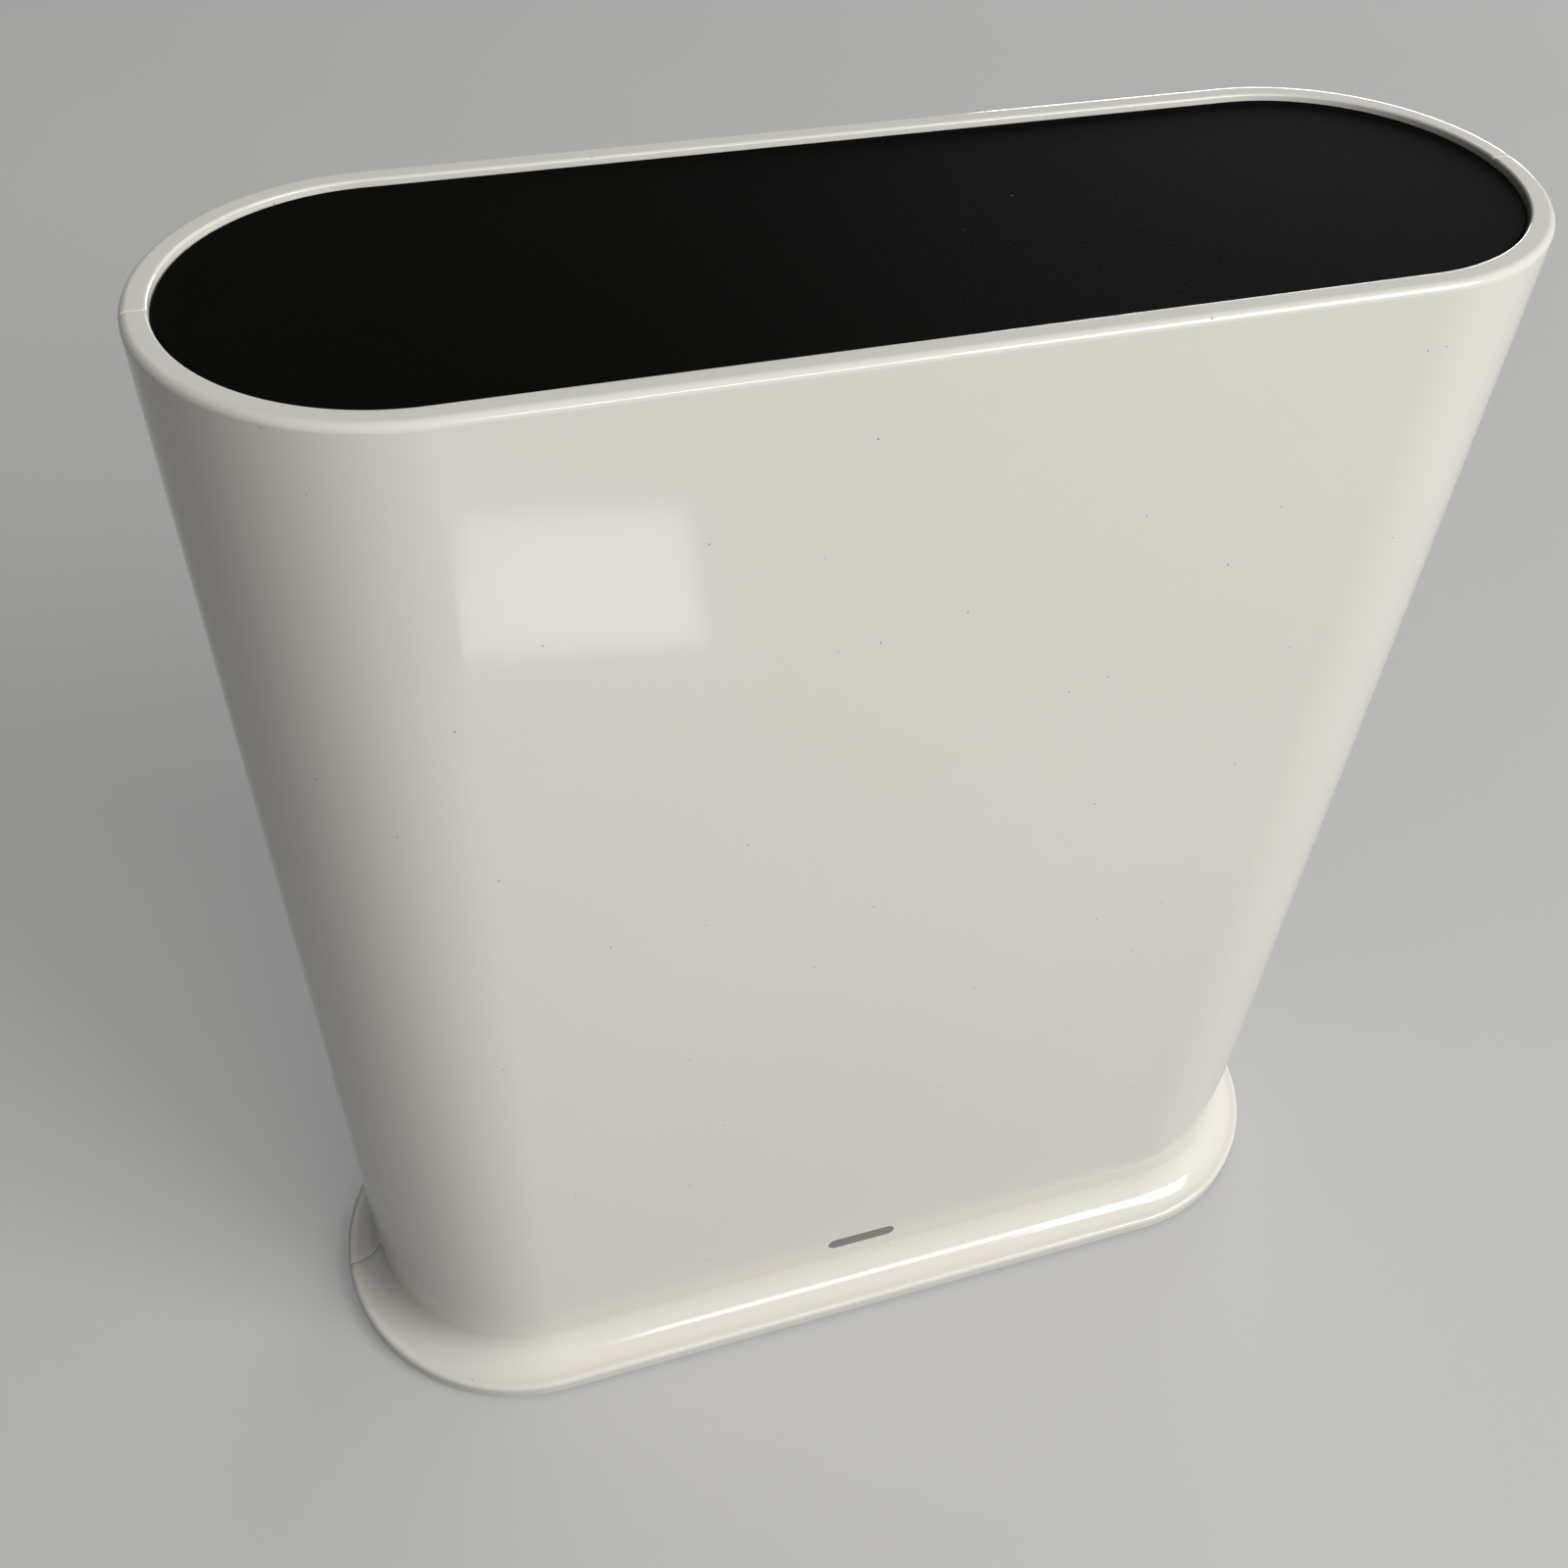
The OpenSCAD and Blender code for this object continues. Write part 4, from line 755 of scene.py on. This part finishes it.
# Port panel: a black moulding with a fine spark texture that fills the window and frames the jacks.
# Its flange laps behind the wall, two ears take its screws, and tubes behind it guide the buttons.
PANEL_LAP = 2.5
PANEL_FIT = 0.15
PANEL_T = 1.8
PANEL_STEP = 0.8                              # the face stands this far in front of the flange
PANEL_Y = panel_high.y
ROOT = 0.5                                    # how far the tubes and risers reach into the flange
EAR_W = 7.4
EAR_H = 5.8
RISER_W = 1.4
THROUGH = 30.0
SYNC_GUIDE_R = 6.58
RESET_GUIDE_R = 2.98
low, high = span("reset_key")
RESET_X = (low.x + high.x) / 2
flange_y = PANEL_Y - PANEL_STEP - PANEL_T
tube_y = panel_low.y
tube_length = flange_y + ROOT - tube_y
ear_x = panel_high.x - EAR_W / 2
ear_y = PANEL_SCREW_Y - PANEL_T
riser_x = panel_high.x - EAR_W + RISER_W / 2
riser_depth = flange_y + ROOT - ear_y
panel = slab("port_panel_face", WINDOW_W + 2 * PANEL_LAP, WINDOW_H + 2 * PANEL_LAP,
    corner=WINDOW_ROUND + PANEL_LAP, steps=12, y=flange_y, z=PORT_Z, depth=PANEL_T)
pick("FACE", near(flange_y + PANEL_T))
inset(PANEL_LAP + PANEL_FIT)
push(0, PANEL_STEP, 0)
tidy()
pick("EDGE", near(PANEL_Y))
soften(0.3)


def tube(name, x, r, y, length):
    """A round bar along Y at the height of the jacks."""
    bar = disc(name, r, (x, y, PORT_Z), upright=True)
    push(0, length, 0)
    tidy()
    return bar


def drill(name, x, wide, narrow):
    """A stepped round cutter along Y: wide up to the flange's back, and narrow on to the outside."""
    bit = disc(name, wide, (x, 0, PORT_Z), upright=True)
    push(0, flange_y, 0)
    inset(wide - narrow)
    push(0, THROUGH - flange_y, 0)
    tidy()
    return bit


guides = [tube("sync_guide", SYNC_X, SYNC_GUIDE_R, tube_y, tube_length),
          tube("reset_guide", RESET_X, RESET_GUIDE_R, tube_y, tube_length)]
ears = [block("panel_ear", end * ear_x, ear_y, PORT_Z, EAR_W, PANEL_T, EAR_H) for end in (-1, 1)]
risers = [block("panel_riser", end * riser_x, ear_y, PORT_Z, RISER_W, riser_depth, EAR_H) for end in (-1, 1)]
carve(panel, guides + ears + risers, "UNION")
holes = [block("network_hole", NET_X, 0, PORT_Z, CAN_W + 2 * PANEL_FIT, THROUGH, CAN_H + 2 * PANEL_FIT),
         block("storage_hole", USB_X, 0, PORT_Z, USB_W + 2 * PANEL_FIT, THROUGH, USB_H + 2 * PANEL_FIT),
         tube("power_hole", POWER_X, BARREL_R + PANEL_FIT, 0, THROUGH),
         drill("sync_hole", SYNC_X, wide=5.48, narrow=4.58),
         drill("reset_hole", RESET_X, wide=1.88, narrow=0.9)]
holes += [tube("ear_hole", end * PANEL_SCREW_X, 1.4, 0, THROUGH) for end in (-1, 1)]
carve(panel, holes)
tidy()
inner_x = WINDOW_W / 2 - 4
inner_z = WINDOW_H / 2 - 2
pick("EDGE", lambda p: near(PANEL_Y)(p) and abs(p.x) < inner_x and abs(p.z - PORT_Z) < inner_z)
soften(0.25)
black_spark = grained("black_spark", (0.012, 0.012, 0.0125), (0.018, 0.018, 0.0185), patch=150, grain=3600,
    rough=0.42, spread=0.2, detail=3.0, bump=0.35, depth=0.00008)
fit(panel, black_spark, "port_panel")

# Front half of the shell: the other gloss moulding, plain but for the slot of the status light near the foot.
# Two bosses inside take screws of the base cover, and two pins carry the light's shroud.
LIGHT_W = 11.0
LIGHT_H = 2.4
LIGHT_FIT = 0.06
LIGHT_HALF = (LIGHT_W - LIGHT_H) / 2          # half the straight length of the light
SLOT_R = LIGHT_H / 2 + LIGHT_FIT
PIN_X = 10.0
PIN_Y = -18.2
PIN_LENGTH = 4.7
pipe_low, pipe_high = span("light_pipe")
LIGHT_Z = (pipe_low.z + pipe_high.z) / 2
front = half_shell("front_half", -1)
slot = oblong("light_cutter", SLOT_R, (LIGHT_HALF, 0, 0), (0, -CUT_Y, LIGHT_Z), upright=True)
push(0, -CUT_LENGTH, 0)
tidy()
carve(front, [slot])
pick("EDGE", on_wall(-1, 0, LIGHT_Z, LIGHT_HALF + SLOT_R, SLOT_R))
soften(0.14)
bosses = base_bosses(-1)
for end in (-1, 1):
    bosses.append(disc("sleeve_pin", 1, (end * PIN_X, PIN_Y, LIGHT_Z), upright=True, points=24))
    push(0, -PIN_LENGTH, 0)
    tidy()
    pick("EDGE", near(PIN_Y))
    soften(0.3)
carve(front, bosses, "UNION")
fit(front, white_gloss, "front_shell")

# Status light: a pipe of smoked resin whose face fills the slot, with a bar that leads in the lamp's light.
# A black shroud on two pins keeps the light in and clamps the pipe's flange against the wall.
FLANGE_OUT = 2.0
FLANGE_Y = -21.8
FLANGE_T = 1.2
BAR_W = 8.0
BAR_H = 1.8
BAR_Y = -21.3                                 # the bar begins in the flange and ends at the lamp
pipe = oblong("light_pipe_face", LIGHT_H / 2, (LIGHT_HALF, 0, 0), (0, pipe_low.y, LIGHT_Z), upright=True)
push(0, BAR_Y - pipe_low.y, 0)
tidy()
pick("EDGE", near(pipe_low.y))
soften(0.12)
flange = slab("pipe_flange", LIGHT_W + 2 * FLANGE_OUT, LIGHT_H + 2 * FLANGE_OUT, corner=FLANGE_OUT, steps=6,
    y=FLANGE_Y, z=LIGHT_Z, depth=FLANGE_T)
tidy()
bar = block("pipe_bar", 0, BAR_Y, LIGHT_Z, BAR_W, pipe_high.y - BAR_Y, BAR_H)
carve(pipe, [flange, bar], "UNION")
smoked, shader, place = new_finish("smoked_resin", IOR=1.5)
haze = place.noise(900, 2)
feed(shader, Base_Color=haze.blend((0.19, 0.19, 0.185, 1), (0.225, 0.225, 0.22, 1)),
     Roughness=0.25 + haze * 0.15)
fit(pipe, smoked, "light_pipe")

# Base cover: a pale moulded plate with a fine spark texture, let into the underside of the foot.
# Air slots run across its middle, and it has sunk seats for four screws and for four rubber feet.
BASE_R = span("base_cover")[1].y
CUT_Z = FOOT_Z - 1                            # cutters of the cover run up from here
COVER_THROUGH = BASE_T + 2
AIR_R = 1.0
AIR_HALF = 6.0
AIR = [5.0 * i for i in range(-7, 8)]
HEAD_H = 1.4
SEAT_R = 2.5
SEAT_DEPTH = FOOT_Z - CUT_Z + HEAD_H
HOLE_R = 1.4
PAD_X = 59.2
PAD_Y = 14.0
PAD_R = 3.0
PAD_HALF = 3.0
PAD_T = 1.4
SCREWS = [(x, y) for x in (-BASE_SCREW_X, BASE_SCREW_X) for y in (-BASE_SCREW_Y, BASE_SCREW_Y)]
PADS = [(x, y) for x in (-PAD_X, PAD_X) for y in (-PAD_Y, PAD_Y)]


def level(z):
    """Tests whether a point lies at a height."""
    return lambda p: abs(p.z - z) < 0.005


cover = oblong("bottom_plate", BASE_R, (SIDE, 0, 0), (0, 0, FOOT_Z), points=96)
push(0, 0, BASE_T)
tidy()
pick("EDGE", level(FOOT_Z))
soften(0.3)
cutters = []
for x in AIR:
    cutters.append(oblong("air_cutter", AIR_R, (0, AIR_HALF, 0), (x, 0, CUT_Z), points=24))
    push(0, 0, COVER_THROUGH)
    tidy()
for x, y in PADS:
    cutters.append(oblong("pad_cutter", PAD_R, (PAD_HALF, 0, 0), (x, y, CUT_Z)))
    push(0, 0, PAD_T - CUT_Z)
    tidy()
for x, y in SCREWS:
    cutters.append(disc("sink_cutter", SEAT_R, (x, y, CUT_Z)))
    push(0, 0, SEAT_DEPTH)
    inset(SEAT_R - HOLE_R)
    push(0, 0, COVER_THROUGH - SEAT_DEPTH)
    tidy()
carve(cover, [join(cutters)])
rounds = [(x, 0, AIR_HALF + AIR_R) for x in AIR] + [(x, y, SEAT_R) for x, y in SCREWS]
for x, y, across in rounds:
    pick("EDGE", lambda p: level(FOOT_Z)(p) and abs(p.x - x) < SEAT_R + 0.1 and abs(p.y - y) < across + 0.2)
    soften(0.2)
pale_texture = grained("pale_texture", (0.6, 0.59, 0.56), (0.65, 0.64, 0.61), patch=90, grain=2800, rough=0.5,
    spread=0.15, detail=3.0, bump=0.3, depth=0.0001)
fit(cover, pale_texture, "base_cover")

# Base screws: plated steel pan heads with a cross recess, modelled once and copied to the four sunk seats.
# They go through the cover into the bosses of both halves, so that the cover holds the halves together.
HEAD_R = 2.3
SHANK_R = 1.2
SHANK_LENGTH = 8.6
CROSS_L = 3.0
CROSS_W = 0.8
CROSS_H = 1.7                                 # half of it lies below the head's face


def copies(piece, places):
    """Copies a piece from the first place, in mm, to the others, and makes one object of them."""
    made = [piece]
    for x, y in places[1:]:
        clear()
        bpy.context.view_layer.objects.active = piece
        piece.select_set(True)
        bpy.ops.object.duplicate()
        bpy.ops.transform.translate(value=((x - places[0][0]) * MM, (y - places[0][1]) * MM, 0))
        bpy.ops.object.transform_apply(location=True, rotation=True, scale=True)
        made.append(bpy.context.object)
    return join(made)


x, y = SCREWS[0]
screw = disc("base_screw", HEAD_R, (x, y, FOOT_Z))
push(0, 0, HEAD_H)
inset(HEAD_R - SHANK_R)
push(0, 0, SHANK_LENGTH)
tidy()
pick("EDGE", level(FOOT_Z))
soften(0.5, 4)
carve(screw, [block("recess_cutter", x, y - CROSS_L / 2, FOOT_Z, CROSS_W, CROSS_L, CROSS_H),
              block("recess_cutter", x, y - CROSS_W / 2, FOOT_Z, CROSS_L, CROSS_W, CROSS_H)])
fit(copies(screw, SCREWS), plated_steel, "base_screws")

# Rubber feet: soft black oblong pads with rounded lower edges, modelled once and copied.
# Each is glued in a sunk seat of the base cover and stands a little out of it.
x, y = PADS[0]
pad = oblong("rubber_pad", PAD_R, (PAD_HALF, 0, 0), (x, y, 0))
push(0, 0, PAD_T)
tidy()
pick("EDGE", level(0))
soften(0.45, 3)
rubber, shader, place = new_finish("rubber")
nap = place.noise(1500, 4)
feed(shader, Base_Color=nap.blend((0.016, 0.016, 0.017, 1), (0.03, 0.03, 0.031, 1)),
     Roughness=0.75 + nap * 0.2,
     Normal=dents(nap, 0.3, 0.0001))
fit(copies(pad, PADS), rubber, "rubber_feet")

# Top plate: a flat black moulding with a fine matt texture and some lint on it.
# It lies sunk in the rim, and hooks on the skirt under it snap below the ledge of both halves.
PLATE_GAP = 0.2
LID_R = RIM_IN_R - PLATE_GAP
SKIRT_R = LEDGE_R - PLATE_GAP
SKIRT_T = 1.2
SKIRT_H = 4.0
HOOK_X = 30.0
HOOK_W = 8.0
HOOK_H = 2.4
HOOK_T = 1.4
HOOK_REACH = 0.6                              # how far the hooks reach under the ledge
HOOK_GAP = 0.1                                # how far below the ledge they stay
HOOK_SLOPE = 0.6                              # the cut along the top, which follows the ledge's brace
HOOK_LEAD = 0.8                               # the cut along the bottom, which leads the hook in
HOOK_RISE = 0.4                               # how much higher than wide that cut is
hook_out = LEDGE_R + HOOK_REACH
hook_mid = hook_out - HOOK_T / 2
hook_z = LEDGE_Z - HOOK_GAP - HOOK_H / 2
hook_low = hook_z - HOOK_H / 2
lid = oblong("lid", LID_R, (SIDE, 0, 0), (0, 0, PLATE_Z), points=128)
push(0, 0, PLATE_T)
tidy()
pick("FACE", level(PLATE_Z))
inset(LID_R - SKIRT_R)
push(0, 0, -SKIRT_H)
inset(SKIRT_T)
push(0, 0, SKIRT_H)
pick("EDGE", level(PLATE_Z + PLATE_T))
soften(0.3, 3)
hooks = []
for x in (-HOOK_X, HOOK_X):
    for side in (-1, 1):
        hooks.append(block("lid_hook", x, side * hook_mid - HOOK_T / 2, hook_z, HOOK_W, HOOK_T, HOOK_H))
        pick("EDGE", lambda p: p.y * side > hook_mid and p.z > hook_z)
        soften(HOOK_SLOPE, 1)
        pick("EDGE", lambda p: p.y * side > hook_mid and p.z < hook_low + 0.1)
        soften(HOOK_LEAD, 1)
        pick("VERT", lambda p: p.y * side > hook_out - 0.1 and p.z < hook_low + HOOK_LEAD + 0.1)
        shift(0, 0, HOOK_RISE)
carve(lid, hooks, "UNION")
black_matt, shader, place = new_finish("black_matt", Specular_IOR_Level=0.006)
grain = place.noise(5200, 2)
lint = place.specks(140, 0.00016, 0.3, (1, 1, 0.02))
matt = place.noise(30).blend((0.003, 0.003, 0.0026, 1), (0.0042, 0.0041, 0.0034, 1))
feed(shader, Base_Color=lint.blend(matt, (0.09, 0.09, 0.085, 1)),
     Roughness=0.56 + grain * 0.16,
     Normal=dents(grain, 0.4, 0.00008))
fit(lid, black_matt, "top_plate")

# Floor and light: a plain pale floor that fades into an even backdrop and throws little light back up.
# A soft lamp and a window stand at the front right, a low lamp at the right lights the rear, and the room
# glows towards the front right. A small lamp low in front leaves a bright patch on the gloss.
BACKDROP = (0.56, 0.56, 0.56, 1)
BOUNCE = (0.14, 0.14, 0.14, 1)                # the floor as light that falls back on the station sees it
VEIL = 0.25                                   # the backdrop's share in the near floor
FADE_FROM = 0.6
FADE_TO = 1.5
WARM = (1, 0.985, 0.95)
BRIGHT_SIDE = (0.55, -0.8, 0.25)
ROOM_GLOW = (0.42, 0.415, 0.4, 1)


def seen(shade):
    """1 for the rays that show a surface, straight or mirrored, and 0 for those that carry its light."""
    rays = ("Camera", "Glossy", "Transmission")
    return sum(shade.node("LightPath", out="Is %s Ray" % ray) for ray in rays)


def softbox(name, at, size, power, target=(0, 0, 0.09), tint=(1, 1, 1), roll=0):
    """A soft rectangular lamp that faces a target, in metres and watts."""
    clear()
    aim = Vector(target) - Vector(at)
    bpy.ops.object.light_add(type="AREA", location=at, rotation=aim.to_track_quat("-Z", "Y").to_euler())
    lamp = bpy.context.object
    lamp.name = name
    lamp.rotation_euler.rotate_axis("Z", roll)
    lamp.data.shape = "RECTANGLE"
    lamp.data.size, lamp.data.size_y = size
    lamp.data.energy = power
    lamp.data.color = tint
    lamp.visible_camera = False


clear()
bpy.ops.mesh.primitive_plane_add(size=6)
floor = work("floor")
clear()
pale, shader, place = new_finish("pale_floor", Roughness=0.6, Specular_IOR_Level=0.0)
shown = seen(place)
tone = place.noise(6).blend((0.59, 0.59, 0.59, 1), (0.62, 0.62, 0.62, 1))
feed(shader, Base_Color=shown.blend(BOUNCE, tone))
away = place.node("VectorMath", {"operation": "LENGTH"}, {0: place}, out="Value")
far = place.node("MapRange", {"interpolation_type": "SMOOTHSTEP"},
    {"Value": away, "From Min": FADE_FROM, "From Max": FADE_TO})
haze = place.node("Emission", {}, {"Color": BACKDROP})
veil = (VEIL + far * (1 - VEIL)) * shown
faded = place.node("MixShader", {}, {0: veil, 1: Shade(pale.node_tree, shader.outputs[0]), 2: haze})
feed(pale.node_tree.nodes["Material Output"], Surface=faded)
floor.data.materials.append(pale)

softbox("key", at=(0.83, -0.83, 0.85), size=(0.7, 0.6), power=12, tint=WARM)
softbox("window", at=(0.3, -0.985, 0.7), size=(0.5, 0.24), power=3, tint=WARM)
softbox("rear", at=(1.15, 1.55, 0.36), size=(0.9, 0.46), power=15)
softbox("low_card", at=(-0.005, -0.216, 0.002), size=(0.057, 0.055), power=0.025, target=(-0.005, -0.2159, 1),
    roll=-0.17)
room = bpy.data.worlds.new("room")
bpy.context.scene.world = room
room.use_nodes = True
sky = Shade(room.node_tree, room.node_tree.nodes.new("ShaderNodeTexCoord").outputs["Generated"])
toward = sky.node("VectorMath", {"operation": "DOT_PRODUCT"}, {0: sky, 1: BRIGHT_SIDE}, out="Value")
glow = (toward * 0.62 + 0.4).blend((0, 0, 0, 1), ROOM_GLOW)
feed(room.node_tree.nodes["Background"], Color=seen(sky).blend(glow, BACKDROP))
bpy.context.scene.view_settings.view_transform = "Standard"
